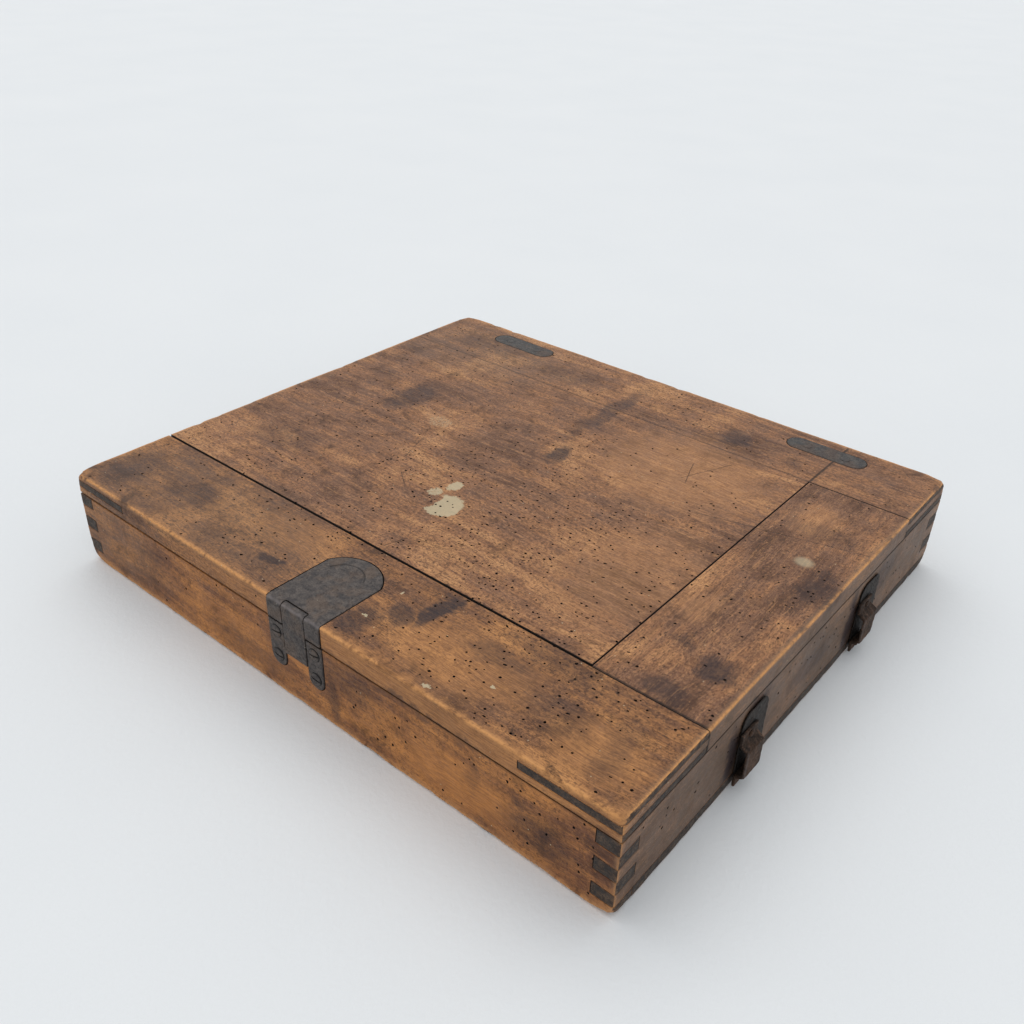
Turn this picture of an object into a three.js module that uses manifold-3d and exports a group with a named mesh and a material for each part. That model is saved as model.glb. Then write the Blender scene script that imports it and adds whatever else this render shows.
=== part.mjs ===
// Flat lidded wooden case for sheet materials: a finger-jointed tray, a framed lid on two
// iron hinges, a hinged hasp at the front and two iron strap loops on the right side.
// Millimetres. The case is laid out from its front left bottom corner: X runs along the
// front, Y to the back, Z up. The last lines move the whole part over its own middle.
import * as THREE from "three";
import { mergeVertices } from "three/addons/utils/BufferGeometryUtils.js";
import Module from "manifold-3d";

const wasm = await Module();
wasm.setup();

// Outside of the closed case
const WIDTH = 430;
const DEPTH = 380;
const HEIGHT = 67;

// Tray
const FINGER_COUNT = 6;
const FINGER = 8.7;
const TRAY_TOP = FINGER_COUNT * FINGER;
const SIDE_WALL = 13;
const END_WALL = 15.5;
const WOOD_FIT = 0.3;
const BOTTOM_BOARDS = 3;
const SHEET_WIDTH = 300;
const SHEET_PLAY = 5;
const DIVIDER = 6;
const DIVIDER_TOP = 40;

// Lid
const SEAM = 0.6;
const LID_BOTTOM = TRAY_TOP + SEAM;
const RAIL_DEPTH = 70;
const RAIL_GAP = 1.5;
const STILE_LEFT = 362;
const STILE_BACK = 315;
const STILE_GAP = 0.7;
const TONGUE_LOW = 57.6;
const TONGUE_HIGH = 62.4;
const TONGUE_WIDTH = 58;
const LEFT_TONGUE_WIDTH = 52;

// Ironwork
const IRON = 2;
const PROUD = 0.2;
const INLAY_FIT = 0.3;
const PIN_FIT = 0.08;
const ROUND = 24;

// Hasp
const HASP_MIDDLE = 216;
const HASP_WIDTH = 43;
const HASP_REACH = 57.5;
const HASP_NOSE_RADIUS = 24;
const HASP_KNUCKLE_RADIUS = 2.8;
const HASP_PIN_RADIUS = 1.1;
const HASP_FRONT = -0.9;
const HASP_AXIS_Y = HASP_FRONT + HASP_KNUCKLE_RADIUS;
const HASP_AXIS_Z = HEIGHT + PROUD - HASP_KNUCKLE_RADIUS;
const HASP_FLANGE_BOTTOM = 53.2;
const STRAP_WIDTH = 18;
const STRAP_BOTTOM = 33;
const KEEPER_WIDTH = 12.4;
const KEEPER_TOP = 51.6;
const KEEPER_BOTTOM = 21;
const KEEPER_GAP = 0.5;
const KEEPER_SCREW_HEIGHTS = [45, 28];

// Hinges
const HINGE_MIDDLES = { left: 80, right: 352.5 };
const HINGE_LENGTH = 58;
const HINGE_KNUCKLES = 5;
const HINGE_KNUCKLE_RADIUS = 3;
const HINGE_PIN_RADIUS = 1.3;
const HINGE_AXIS_Y = DEPTH + 3.4;
const HINGE_AXIS_Z = TRAY_TOP + SEAM / 2;
const LEAF = 1.8;
const LID_LEAF_DEPTH = 28;
const WALL_LEAF_DEPTH = 11;
const COVER_WIDTH = 17;
const COVER_MIDDLE_Y = 361;
const RIVET_SPREAD = 28;
const HINGE_SCREW_SPREAD = 40;
const HINGE_SCREW_Y = 372.4;

// Strap loops on the right side
const LOOP_MIDDLES = { front: 113, rear: 257 };
const LOOP_PLATE = { behind: 22, ahead: 6, low: 2.5, high: 48.5, thick: 1 };
const LOOP_BRIDGE = { width: 17, low: 3.2, high: 39, foot: 9, slope: 3, rise: 4.6, thick: 1.8 };
const LOOP_CORNER = 8;
const NAIL_STAND = 0.1;
const BRIDGE_NAIL = { shank: 1.1, head: 2.3 };
const TAIL_NAIL = { shank: 1.5, head: 3.6, inset: 6 };

const trayWood = new THREE.MeshStandardMaterial({ color: 0x6b4a2f, roughness: 0.7 });
const lidWood = new THREE.MeshStandardMaterial({ color: 0x7a5233, roughness: 0.65 });
const liningWood = new THREE.MeshStandardMaterial({ color: 0x8a6a48, roughness: 0.8 });
const iron = new THREE.MeshStandardMaterial({ color: 0x34383c, roughness: 0.55, metalness: 0.8 });
const rustyIron = new THREE.MeshStandardMaterial({ color: 0x54382a, roughness: 0.85, metalness: 0.4 });

const part = new THREE.Group();
part.name = "lidded_sheet_case";

// ---------- solids ----------

function solid(geometry) {
  const bare = geometry.clone();
  bare.deleteAttribute("normal");
  bare.deleteAttribute("uv");
  const welded = mergeVertices(bare, 1e-4);
  return new wasm.Manifold(new wasm.Mesh({
    numProp: 3,
    vertProperties: new Float32Array(welded.attributes.position.array),
    triVerts: new Uint32Array(welded.index.array),
  }));
}

function add(name, body, material) {
  const mesh = body.getMesh();
  const geometry = new THREE.BufferGeometry();
  geometry.setAttribute("position", new THREE.BufferAttribute(mesh.vertProperties, 3));
  geometry.setIndex(new THREE.BufferAttribute(mesh.triVerts, 1));
  const flat = geometry.toNonIndexed();
  flat.computeVertexNormals();
  const piece = new THREE.Mesh(flat, material);
  piece.name = name;
  part.add(piece);
}

// A block between two opposite corners.
function block([x0, y0, z0], [x1, y1, z1]) {
  const geometry = new THREE.BoxGeometry(x1 - x0, y1 - y0, z1 - z0);
  geometry.translate((x0 + x1) / 2, (y0 + y1) / 2, (z0 + z1) / 2);
  return solid(geometry);
}

const AXES = {
  x: [new THREE.Vector3(0, 1, 0), new THREE.Vector3(0, 0, 1), new THREE.Vector3(1, 0, 0)],
  y: [new THREE.Vector3(0, 0, 1), new THREE.Vector3(1, 0, 0), new THREE.Vector3(0, 1, 0)],
  z: [new THREE.Vector3(1, 0, 0), new THREE.Vector3(0, 1, 0), new THREE.Vector3(0, 0, 1)],
};

// Turns a solid drawn along Z so that it runs along the named axis. The drawing's own
// X and Y become (y, z) along x, (z, x) along y and (x, y) along z.
function along(axis, geometry) {
  return geometry.applyMatrix4(new THREE.Matrix4().makeBasis(...AXES[axis]));
}

function extruded(axis, shape, low, high, curveSegments = 10) {
  const geometry = new THREE.ExtrudeGeometry(shape, {
    depth: high - low, bevelEnabled: false, curveSegments,
  });
  geometry.translate(0, 0, low);
  return solid(along(axis, geometry));
}

// A round bar along an axis; centre is given in the drawing's own X and Y.
function bar(axis, [u, v], radius, low, high, segments = ROUND) {
  const geometry = new THREE.CylinderGeometry(radius, radius, high - low, segments);
  geometry.rotateX(Math.PI / 2);
  geometry.translate(u, v, (low + high) / 2);
  return solid(along(axis, geometry));
}

function outline(points) {
  return new THREE.Shape(points.map(([u, v]) => new THREE.Vector2(u, v)));
}

function roundedRectangle(u0, v0, u1, v1, radius) {
  const shape = new THREE.Shape();
  shape.absarc(u1 - radius, v0 + radius, radius, -Math.PI / 2, 0, false);
  shape.absarc(u1 - radius, v1 - radius, radius, 0, Math.PI / 2, false);
  shape.absarc(u0 + radius, v1 - radius, radius, Math.PI / 2, Math.PI, false);
  shape.absarc(u0 + radius, v0 + radius, radius, Math.PI, 1.5 * Math.PI, false);
  return shape;
}

// A turned fastener whose head is at the origin and whose point runs down -Z.
function turned(profile, segments) {
  const points = profile.map(([radius, height]) => new THREE.Vector2(radius, height));
  const geometry = new THREE.LatheGeometry(points, segments);
  geometry.rotateX(Math.PI / 2);
  return solid(geometry);
}

// Facings for fasteners: the direction the head looks.
const FACING = {
  front: (body) => body.rotate([90, 0, 0]),
  down: (body) => body.rotate([180, 0, 0]),
  right: (body) => body.rotate([0, 90, 0]),
};

// ---------- fasteners ----------

function slottedScrew({ head, shank, length, dome, slotAngle }) {
  const sink = head - shank;
  const screw = turned([
    [0, -length], [shank * 0.7, -length + 3], [shank, -length + 5], [shank, -sink],
    [head, 0], [head * 0.7, dome * 0.7], [0, dome],
  ], 20);
  const slot = block([-head - 1, -0.5, dome - 0.9], [head + 1, 0.5, dome + 1]);
  return screw.subtract(slot.rotate([0, 0, slotAngle]));
}

function screwHole({ head, shank, length }, fit) {
  const sink = head - shank;
  return turned([
    [0, -length - fit], [shank + fit, -length - fit], [shank + fit, -sink],
    [head + fit, fit], [head + fit, 4], [0, 4],
  ], 20);
}

function nail({ head, shank, length, dome }) {
  return turned([
    [0, -length], [shank, -length + 2], [shank, 0], [head, 0], [head * 0.8, dome * 0.7], [0, dome],
  ], 16);
}

function nailHole({ shank, length }, fit) {
  return turned([[0, -length - fit], [shank + fit, -length - fit], [shank + fit, 4], [0, 4]], 16);
}

// ---------- tray ----------

const fingerLow = (level) => level * FINGER + WOOD_FIT / 2;
const fingerHigh = (level) => (level + 1) * FINGER - WOOD_FIT / 2;

// End walls own the even finger levels, side walls the odd ones.
function endWall(y0) {
  const long = block([0, y0, 0], [WIDTH, y0 + END_WALL, TRAY_TOP]);
  const cutters = [];
  for (let level = 1; level < FINGER_COUNT; level += 2) {
    const low = fingerLow(level) - WOOD_FIT;
    const high = level === FINGER_COUNT - 1 ? TRAY_TOP + 1 : fingerHigh(level) + WOOD_FIT;
    const reach = SIDE_WALL + WOOD_FIT;
    cutters.push(block([-1, y0 - 1, low], [reach, y0 + END_WALL + 1, high]));
    cutters.push(block([WIDTH - reach, y0 - 1, low], [WIDTH + 1, y0 + END_WALL + 1, high]));
  }
  return cutters.reduce((wall, cutter) => wall.subtract(cutter), long);
}

function sideWall(x0) {
  const long = block([x0, 0, fingerLow(1)], [x0 + SIDE_WALL, DEPTH, TRAY_TOP]);
  let wall = long;
  for (let level = 2; level < FINGER_COUNT; level += 2) {
    const low = fingerLow(level) - WOOD_FIT;
    const high = fingerHigh(level) + WOOD_FIT;
    const reach = END_WALL + WOOD_FIT;
    wall = wall.subtract(block([x0 - 1, -1, low], [x0 + SIDE_WALL + 1, reach, high]));
    wall = wall.subtract(block([x0 - 1, DEPTH - reach, low], [x0 + SIDE_WALL + 1, DEPTH + 1, high]));
  }
  return wall;
}

const BOTTOM_NAIL = { head: 2.6, shank: 1.1, length: 24, dome: 0 };
const bottomFront = END_WALL + WOOD_FIT;
const bottomPitch = (DEPTH - 2 * bottomFront + WOOD_FIT) / BOTTOM_BOARDS;

function bottomNailPlaces() {
  const places = [];
  for (let board = 0; board < BOTTOM_BOARDS; board += 1) {
    const y = bottomFront + (board + 0.5) * bottomPitch;
    places.push({ name: `bottom_nail_left_${board + 1}`, at: [SIDE_WALL / 2, y, 0], board });
    places.push({ name: `bottom_nail_right_${board + 1}`, at: [WIDTH - SIDE_WALL / 2, y, 0], board });
  }
  return places;
}

function countersunkNail({ head, shank, length }) {
  return turned([[0, -length], [shank, -length + 2], [shank, -1.6], [head, -0.2], [0, -0.2]], 12);
}

function countersunkNailHole({ head, shank, length }, fit) {
  return turned([
    [0, -length - fit], [shank + fit, -length - fit], [shank + fit, -1.6 - fit],
    [head + fit, -0.2 - fit], [head + fit, 2], [0, 2],
  ], 12);
}

function bottomBoard(board) {
  const y0 = bottomFront + board * bottomPitch;
  return block([0, y0, 0], [WIDTH, y0 + bottomPitch - WOOD_FIT, FINGER - WOOD_FIT / 2]);
}

function bottomNailHoles() {
  return bottomNailPlaces().map(({ at }) =>
    FACING.down(countersunkNailHole(BOTTOM_NAIL, WOOD_FIT)).translate(at));
}

// ---------- lid ----------

const tongueLow = TONGUE_LOW - WOOD_FIT;
const tongueHigh = TONGUE_HIGH + WOOD_FIT;

function frontRail() {
  const rail = block([0, 0, LID_BOTTOM], [WIDTH, RAIL_DEPTH, HEIGHT]);
  const right = block(
    [WIDTH - TONGUE_WIDTH - WOOD_FIT, -1, tongueLow], [WIDTH + 1, RAIL_DEPTH + 1, tongueHigh]);
  const left = block([-1, -1, tongueLow], [LEFT_TONGUE_WIDTH + WOOD_FIT, RAIL_DEPTH + 1, tongueHigh]);
  return rail.subtract(right).subtract(left);
}

function mainBoard() {
  const front = RAIL_DEPTH + RAIL_GAP;
  const board = block([0, front, LID_BOTTOM], [WIDTH, DEPTH, HEIGHT]);
  const stileRoom = block(
    [STILE_LEFT - STILE_GAP, 0, LID_BOTTOM - 1], [WIDTH + 1, STILE_BACK + WOOD_FIT, HEIGHT + 1]);
  const rearSlot = block([WIDTH - TONGUE_WIDTH - WOOD_FIT, 0, tongueLow], [WIDTH + 1, DEPTH + 1, tongueHigh]);
  const leftSlot = block([-1, 0, tongueLow], [LEFT_TONGUE_WIDTH + WOOD_FIT, DEPTH + 1, tongueHigh]);
  return board.subtract(stileRoom).subtract(rearSlot).subtract(leftSlot);
}

function rightStile() {
  const body = block([STILE_LEFT, RAIL_DEPTH + WOOD_FIT, LID_BOTTOM], [WIDTH, STILE_BACK, HEIGHT]);
  const tongue = block([WIDTH - TONGUE_WIDTH, 0, TONGUE_LOW], [WIDTH, DEPTH, TONGUE_HIGH]);
  return body.add(tongue);
}

function leftBatten() {
  return block([0, 0, TONGUE_LOW], [LEFT_TONGUE_WIDTH, DEPTH, TONGUE_HIGH]);
}

// ---------- hasp ----------

const haspLeft = HASP_MIDDLE - HASP_WIDTH / 2;
const haspRight = HASP_MIDDLE + HASP_WIDTH / 2;
const strapLeft = HASP_MIDDLE - STRAP_WIDTH / 2;
const strapRight = HASP_MIDDLE + STRAP_WIDTH / 2;

// The inlaid plate seen from above: straight sides and a flat-arched nose.
function haspOutline(grow) {
  const half = HASP_WIDTH / 2 + grow;
  const radius = HASP_NOSE_RADIUS + grow;
  const middle = HASP_REACH - HASP_NOSE_RADIUS;
  const spread = Math.asin(half / radius);
  const shape = new THREE.Shape();
  shape.moveTo(HASP_MIDDLE - half, HASP_AXIS_Y);
  shape.lineTo(HASP_MIDDLE + half, HASP_AXIS_Y);
  shape.absarc(HASP_MIDDLE, middle, radius, Math.PI / 2 - spread, Math.PI / 2 + spread, false);
  return shape;
}

function haspKnuckle(x0, x1) {
  return bar("x", [HASP_AXIS_Y, HASP_AXIS_Z], HASP_KNUCKLE_RADIUS, x0, x1);
}

const haspPinHole = bar("x", [HASP_AXIS_Y, HASP_AXIS_Z], HASP_PIN_RADIUS + PIN_FIT, -1, WIDTH);

// The plate lies in the lid's top; each side of it rolls over the pin and runs down the edge.
function haspPlate() {
  const plateLow = HEIGHT + PROUD - IRON;
  let plate = extruded("z", haspOutline(0), plateLow, HEIGHT + PROUD, 20);
  for (const [x0, x1] of [[haspLeft, strapLeft - KEEPER_GAP], [strapRight + KEEPER_GAP, haspRight]]) {
    plate = plate.add(haspKnuckle(x0, x1));
    plate = plate.add(block([x0, HASP_FRONT, HASP_FLANGE_BOTTOM], [x1, HASP_FRONT + IRON, HASP_AXIS_Z]));
  }
  const roomLeft = strapLeft - KEEPER_GAP;
  const roomRight = strapRight + KEEPER_GAP;
  const roundKnuckle = bar(
    "x", [HASP_AXIS_Y, HASP_AXIS_Z], HASP_KNUCKLE_RADIUS + INLAY_FIT, roomLeft, roomRight, 48);
  const beforeKnuckle = block(
    [roomLeft, HASP_FRONT - 1, HASP_FLANGE_BOTTOM - 1], [roomRight, HASP_AXIS_Y, HEIGHT + 2]);
  return plate.subtract(roundKnuckle).subtract(beforeKnuckle).subtract(haspPinHole);
}

function haspStrap() {
  const drop = block([strapLeft, HASP_FRONT, STRAP_BOTTOM], [strapRight, HASP_FRONT + 1.8, HASP_AXIS_Z]);
  return haspKnuckle(strapLeft, strapRight).add(drop).subtract(haspPinHole);
}

function haspPin() {
  return bar("x", [HASP_AXIS_Y, HASP_AXIS_Z], HASP_PIN_RADIUS, haspLeft, haspRight);
}

// The wood cut away for the hasp: its plate, its knuckles and its parts on the lid's edge.
function haspRecess() {
  const bed = extruded("z", haspOutline(INLAY_FIT), HEIGHT + PROUD - IRON - INLAY_FIT, HEIGHT + 5, 20);
  const left = haspLeft - INLAY_FIT;
  const right = haspRight + INLAY_FIT;
  const back = HASP_AXIS_Y + HASP_KNUCKLE_RADIUS + INLAY_FIT;
  const low = HASP_AXIS_Z - HASP_KNUCKLE_RADIUS - INLAY_FIT;
  const rolled = block([left, -5, low], [right, back, HEIGHT + 5]);
  const edge = block([left, -5, LID_BOTTOM - 1], [right, HASP_FRONT + IRON + INLAY_FIT, HEIGHT]);
  return bed.add(rolled).add(edge);
}

const HASP_RIVET = { radius: 2.2, spots: [18, 44] };

function haspRivetHoles(fit) {
  return HASP_RIVET.spots.map((y) =>
    bar("z", [HASP_MIDDLE, y], HASP_RIVET.radius + fit, LID_BOTTOM - 1, HEIGHT + 1, 16));
}

function haspRivet(y) {
  return bar("z", [HASP_MIDDLE, y], HASP_RIVET.radius, LID_BOTTOM, HEIGHT + PROUD, 16);
}

const KEEPERS = {
  left: [strapLeft - KEEPER_GAP - KEEPER_WIDTH, strapLeft - KEEPER_GAP],
  right: [strapRight + KEEPER_GAP, strapRight + KEEPER_GAP + KEEPER_WIDTH],
};
const KEEPER_SCREW = { head: 4.3, shank: 1.9, length: 12, dome: 0.9 };

function keeperOutline([x0, x1], grow) {
  const radius = (x1 - x0) / 2 + grow;
  const shape = new THREE.Shape();
  shape.moveTo(KEEPER_TOP + grow, x0 - grow);
  shape.lineTo(KEEPER_TOP + grow, x1 + grow);
  shape.absarc(KEEPER_BOTTOM + radius - grow, (x0 + x1) / 2, radius, Math.PI / 2, 1.5 * Math.PI, false);
  return shape;
}

const keeperFront = HASP_FRONT + 0.3;

function keeperScrewPlaces() {
  const places = [];
  for (const [side, [x0, x1]] of Object.entries(KEEPERS)) {
    KEEPER_SCREW_HEIGHTS.forEach((z, index) => {
      const name = `keeper_${side}_screw_${index === 0 ? "upper" : "lower"}`;
      places.push({ name, side, at: [(x0 + x1) / 2, keeperFront, z], slotAngle: 8 - 14 * index });
    });
  }
  return places;
}

function keeperScrewHoles(fit) {
  return keeperScrewPlaces().map(({ at }) => FACING.front(screwHole(KEEPER_SCREW, fit)).translate(at));
}

function keeper(side) {
  const plate = extruded("y", keeperOutline(KEEPERS[side], 0), keeperFront, keeperFront + IRON, 12);
  return keeperScrewHoles(0.15).reduce((body, hole) => body.subtract(hole), plate);
}

function keeperRecess(side) {
  return extruded("y", keeperOutline(KEEPERS[side], INLAY_FIT), -3, keeperFront + IRON + INLAY_FIT, 12);
}

function strapRecess() {
  return block(
    [strapLeft - KEEPER_GAP, -3, STRAP_BOTTOM - 0.8],
    [strapRight + KEEPER_GAP, HASP_FRONT + 1.8 + 0.5, TRAY_TOP + 1]);
}

// ---------- hinges ----------

const knucklePitch = HINGE_LENGTH / HINGE_KNUCKLES;
const KNUCKLE_GAP = 0.3;

function hingeKnuckles(middle, first) {
  const spans = [];
  for (let index = first; index < HINGE_KNUCKLES; index += 2) {
    const x0 = middle - HINGE_LENGTH / 2 + index * knucklePitch;
    spans.push([x0 + KNUCKLE_GAP / 2, x0 + knucklePitch - KNUCKLE_GAP / 2]);
  }
  return spans;
}

// A leaf between the given heights, with its share of the knuckles on the hinge axis.
function hingeLeaf(middle, first, low, high, depth) {
  const half = HINGE_LENGTH / 2 - KNUCKLE_GAP / 2;
  const edge = HINGE_AXIS_Y - HINGE_KNUCKLE_RADIUS - 0.5;
  let leaf = block([middle - half, edge - depth, low], [middle + half, edge, high]);
  for (const [x0, x1] of hingeKnuckles(middle, first)) {
    leaf = leaf.add(bar("x", [HINGE_AXIS_Y, HINGE_AXIS_Z], HINGE_KNUCKLE_RADIUS, x0, x1));
    leaf = leaf.add(block([x0, edge - 1, low], [x1, HINGE_AXIS_Y - 1, high]));
  }
  const pinHole = bar("x", [HINGE_AXIS_Y, HINGE_AXIS_Z], HINGE_PIN_RADIUS + PIN_FIT, -1, WIDTH);
  return leaf.subtract(pinHole);
}

const wallLeafHigh = TRAY_TOP;
const wallLeafLow = TRAY_TOP - LEAF;
const lidLeafLow = LID_BOTTOM;
const lidLeafHigh = LID_BOTTOM + LEAF;

function leafRecess(middle, low, high, depth) {
  const half = HINGE_LENGTH / 2 + INLAY_FIT;
  const edge = HINGE_AXIS_Y - HINGE_KNUCKLE_RADIUS - 0.5;
  return block([middle - half, edge - depth - INLAY_FIT, low], [middle + half, DEPTH + 1, high]);
}

const HINGE_SCREW = { head: 3.2, shank: 1.5, length: 16, dome: -0.1 };

function hingeScrewPlaces(side) {
  const middle = HINGE_MIDDLES[side];
  return [-1, 1].map((hand) => ({
    name: `hinge_${side}_screw_${hand < 0 ? "left" : "right"}`,
    at: [middle + hand * HINGE_SCREW_SPREAD / 2, HINGE_SCREW_Y, TRAY_TOP],
    slotAngle: 20 * hand,
  }));
}

function hingeScrewHoles(side, fit) {
  return hingeScrewPlaces(side).map(({ at }) => screwHole(HINGE_SCREW, fit).translate(at));
}

const LID_RIVET = { radius: 2.1, head: 3.3, sink: 1.1 };

function rivetPlaces(side) {
  return [-1, 1].map((hand) => ({
    name: `hinge_${side}_rivet_${hand < 0 ? "left" : "right"}`,
    at: [HINGE_MIDDLES[side] + hand * RIVET_SPREAD / 2, COVER_MIDDLE_Y],
  }));
}

// A clenched rivet: one flush head in the leaf under the lid, the other in the cover plate.
function lidRivet([x, y], fit) {
  const top = HEIGHT + PROUD + (fit > 0 ? 1 : 0);
  const bottom = LID_BOTTOM - (fit > 0 ? 1 : 0);
  const { radius, head, sink } = LID_RIVET;
  const profile = [
    [0, bottom], [head + fit, bottom], [head + fit, LID_BOTTOM], [radius + fit, LID_BOTTOM + sink],
    [radius + fit, HEIGHT + PROUD - sink], [head + fit, HEIGHT + PROUD], [head + fit, top], [0, top],
  ];
  const distinct = profile.filter(([r, z], index) => {
    const before = profile[index - 1];
    return !before || before[0] !== r || before[1] !== z;
  });
  return turned(distinct, 16).translate([x, y, 0]);
}

function coverOutline(middle, grow) {
  const half = HINGE_LENGTH / 2 + grow;
  const radius = COVER_WIDTH / 2 + grow;
  const front = COVER_MIDDLE_Y - radius;
  return roundedRectangle(middle - half, front, middle + half, front + 2 * radius, radius);
}

function coverPlate(side) {
  const plate = extruded("z", coverOutline(HINGE_MIDDLES[side], 0), HEIGHT + PROUD - LEAF, HEIGHT + PROUD, 8);
  return rivetPlaces(side).reduce((body, { at }) => body.subtract(lidRivet(at, 0.15)), plate);
}

function coverRecess(side) {
  const low = HEIGHT + PROUD - LEAF - INLAY_FIT;
  return extruded("z", coverOutline(HINGE_MIDDLES[side], INLAY_FIT), low, HEIGHT + 3, 8);
}

function lidLeaf(side) {
  const leaf = hingeLeaf(HINGE_MIDDLES[side], 1, lidLeafLow, lidLeafHigh, LID_LEAF_DEPTH);
  return rivetPlaces(side).reduce((body, { at }) => body.subtract(lidRivet(at, 0.15)), leaf);
}

function wallLeaf(side) {
  const leaf = hingeLeaf(HINGE_MIDDLES[side], 0, wallLeafLow, wallLeafHigh, WALL_LEAF_DEPTH);
  return hingeScrewHoles(side, 0.15).reduce((body, hole) => body.subtract(hole), leaf);
}

function hingePin(side) {
  const half = HINGE_LENGTH / 2;
  const middle = HINGE_MIDDLES[side];
  return bar("x", [HINGE_AXIS_Y, HINGE_AXIS_Z], HINGE_PIN_RADIUS, middle - half, middle + half);
}

// ---------- strap loops ----------

const loopPlateIn = WIDTH + WOOD_FIT;
const loopPlateOut = loopPlateIn + LOOP_PLATE.thick;
const bridgeIn = loopPlateOut + WOOD_FIT;
const LOOP_NAIL = { head: 3.4, shank: 1.5, length: 11, dome: 1.3 };

function loopPlate(middle) {
  const shape = roundedRectangle(
    middle - LOOP_PLATE.ahead, LOOP_PLATE.low, middle + LOOP_PLATE.behind, LOOP_PLATE.high, LOOP_CORNER);
  return extruded("x", shape, loopPlateIn, loopPlateOut, 5);
}

// Seen along Y: a foot at each end and a straight bridge standing off the plate between them.
function loopBridge(middle) {
  const { width, low, high, foot, slope, rise, thick } = LOOP_BRIDGE;
  const outer = [
    [low, thick], [low + foot - slope, thick], [low + foot, rise + thick],
    [high - foot, rise + thick], [high - foot + slope, thick], [high, thick],
  ];
  const inner = [
    [high, 0], [high - foot + slope - 1.5, 0], [high - foot - 1.5, rise],
    [low + foot + 1.5, rise], [low + foot - slope + 1.5, 0], [low, 0],
  ];
  const shape = outline([...outer, ...inner].map(([z, x]) => [z, bridgeIn + x]));
  return extruded("y", shape, middle - width / 2, middle + width / 2);
}

function loopNailPlaces(place) {
  const middle = LOOP_MIDDLES[place];
  const { low, high, thick } = LOOP_BRIDGE;
  const onBridge = bridgeIn + thick + NAIL_STAND;
  const onPlate = loopPlateOut + NAIL_STAND;
  const tail = middle + LOOP_PLATE.behind - TAIL_NAIL.inset;
  return [
    { name: `loop_${place}_nail_top`, at: [onBridge, middle, high - 3], ...BRIDGE_NAIL },
    { name: `loop_${place}_nail_bottom`, at: [onBridge, middle, low + 3], ...BRIDGE_NAIL },
    { name: `loop_${place}_nail_tail`, at: [onPlate, tail, LOOP_PLATE.low + 9], ...TAIL_NAIL },
  ];
}

function loopNail({ at, shank, head }) {
  return FACING.right(nail({ ...LOOP_NAIL, shank, head })).translate(at);
}

function loopNailHoles(place, fit) {
  return loopNailPlaces(place).map(({ at, shank }) =>
    FACING.right(nailHole({ ...LOOP_NAIL, shank }, fit)).translate(at));
}

// ---------- assembly ----------

const cut = (body, cutters) => cutters.reduce((rest, cutter) => rest.subtract(cutter), body);

function addTray() {
  const hingeBeds = Object.values(HINGE_MIDDLES).map((middle) =>
    leafRecess(middle, wallLeafLow - INLAY_FIT, TRAY_TOP + 1, WALL_LEAF_DEPTH));
  const hingeScrews = Object.keys(HINGE_MIDDLES).flatMap((side) => hingeScrewHoles(side, WOOD_FIT));
  const loopNails = Object.keys(LOOP_MIDDLES).flatMap((place) => loopNailHoles(place, WOOD_FIT));
  const keeperBeds = [keeperRecess("left"), keeperRecess("right"), strapRecess()];
  add("front_wall", cut(endWall(0), [...keeperBeds, ...keeperScrewHoles(WOOD_FIT)]), trayWood);
  add("rear_wall", cut(endWall(DEPTH - END_WALL), [...hingeBeds, ...hingeScrews]), trayWood);
  add("left_wall", cut(sideWall(0), bottomNailHoles()), trayWood);
  add("right_wall", cut(sideWall(WIDTH - SIDE_WALL), [...bottomNailHoles(), ...loopNails]), trayWood);
  for (let board = 0; board < BOTTOM_BOARDS; board += 1) {
    add(`bottom_board_${board + 1}`, cut(bottomBoard(board), [...bottomNailHoles(), ...loopNails]), trayWood);
  }
  for (const { name, at } of bottomNailPlaces()) {
    add(name, FACING.down(countersunkNail(BOTTOM_NAIL)).translate(at), iron);
  }
  const dividerFront = DEPTH - END_WALL - SHEET_WIDTH - SHEET_PLAY - DIVIDER;
  add("sheet_divider", block(
    [SIDE_WALL + WOOD_FIT, dividerFront, FINGER + WOOD_FIT],
    [WIDTH - SIDE_WALL - WOOD_FIT, dividerFront + DIVIDER, DIVIDER_TOP]), liningWood);
}

function addLid() {
  const sides = Object.keys(HINGE_MIDDLES);
  const beds = sides.flatMap((side) => [
    coverRecess(side),
    leafRecess(HINGE_MIDDLES[side], LID_BOTTOM - 1, lidLeafHigh + INLAY_FIT, LID_LEAF_DEPTH),
  ]);
  const rivetHoles = sides.flatMap((side) => rivetPlaces(side).map(({ at }) => lidRivet(at, WOOD_FIT)));
  add("lid_front_rail", cut(frontRail(), [haspRecess(), ...haspRivetHoles(WOOD_FIT)]), lidWood);
  add("lid_main_board", cut(mainBoard(), [...beds, ...rivetHoles]), lidWood);
  add("lid_right_stile", rightStile(), lidWood);
  add("lid_left_batten", leftBatten(), lidWood);
}

function addHasp() {
  add("hasp_plate", cut(haspPlate(), haspRivetHoles(0.15)), iron);
  add("hasp_strap", haspStrap(), iron);
  add("hasp_pin", haspPin(), iron);
  HASP_RIVET.spots.forEach((y, index) => add(`hasp_rivet_${index + 1}`, haspRivet(y), iron));
  add("keeper_left", keeper("left"), iron);
  add("keeper_right", keeper("right"), iron);
  for (const { name, at, slotAngle } of keeperScrewPlaces()) {
    add(name, FACING.front(slottedScrew({ ...KEEPER_SCREW, slotAngle })).translate(at), iron);
  }
}

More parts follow.
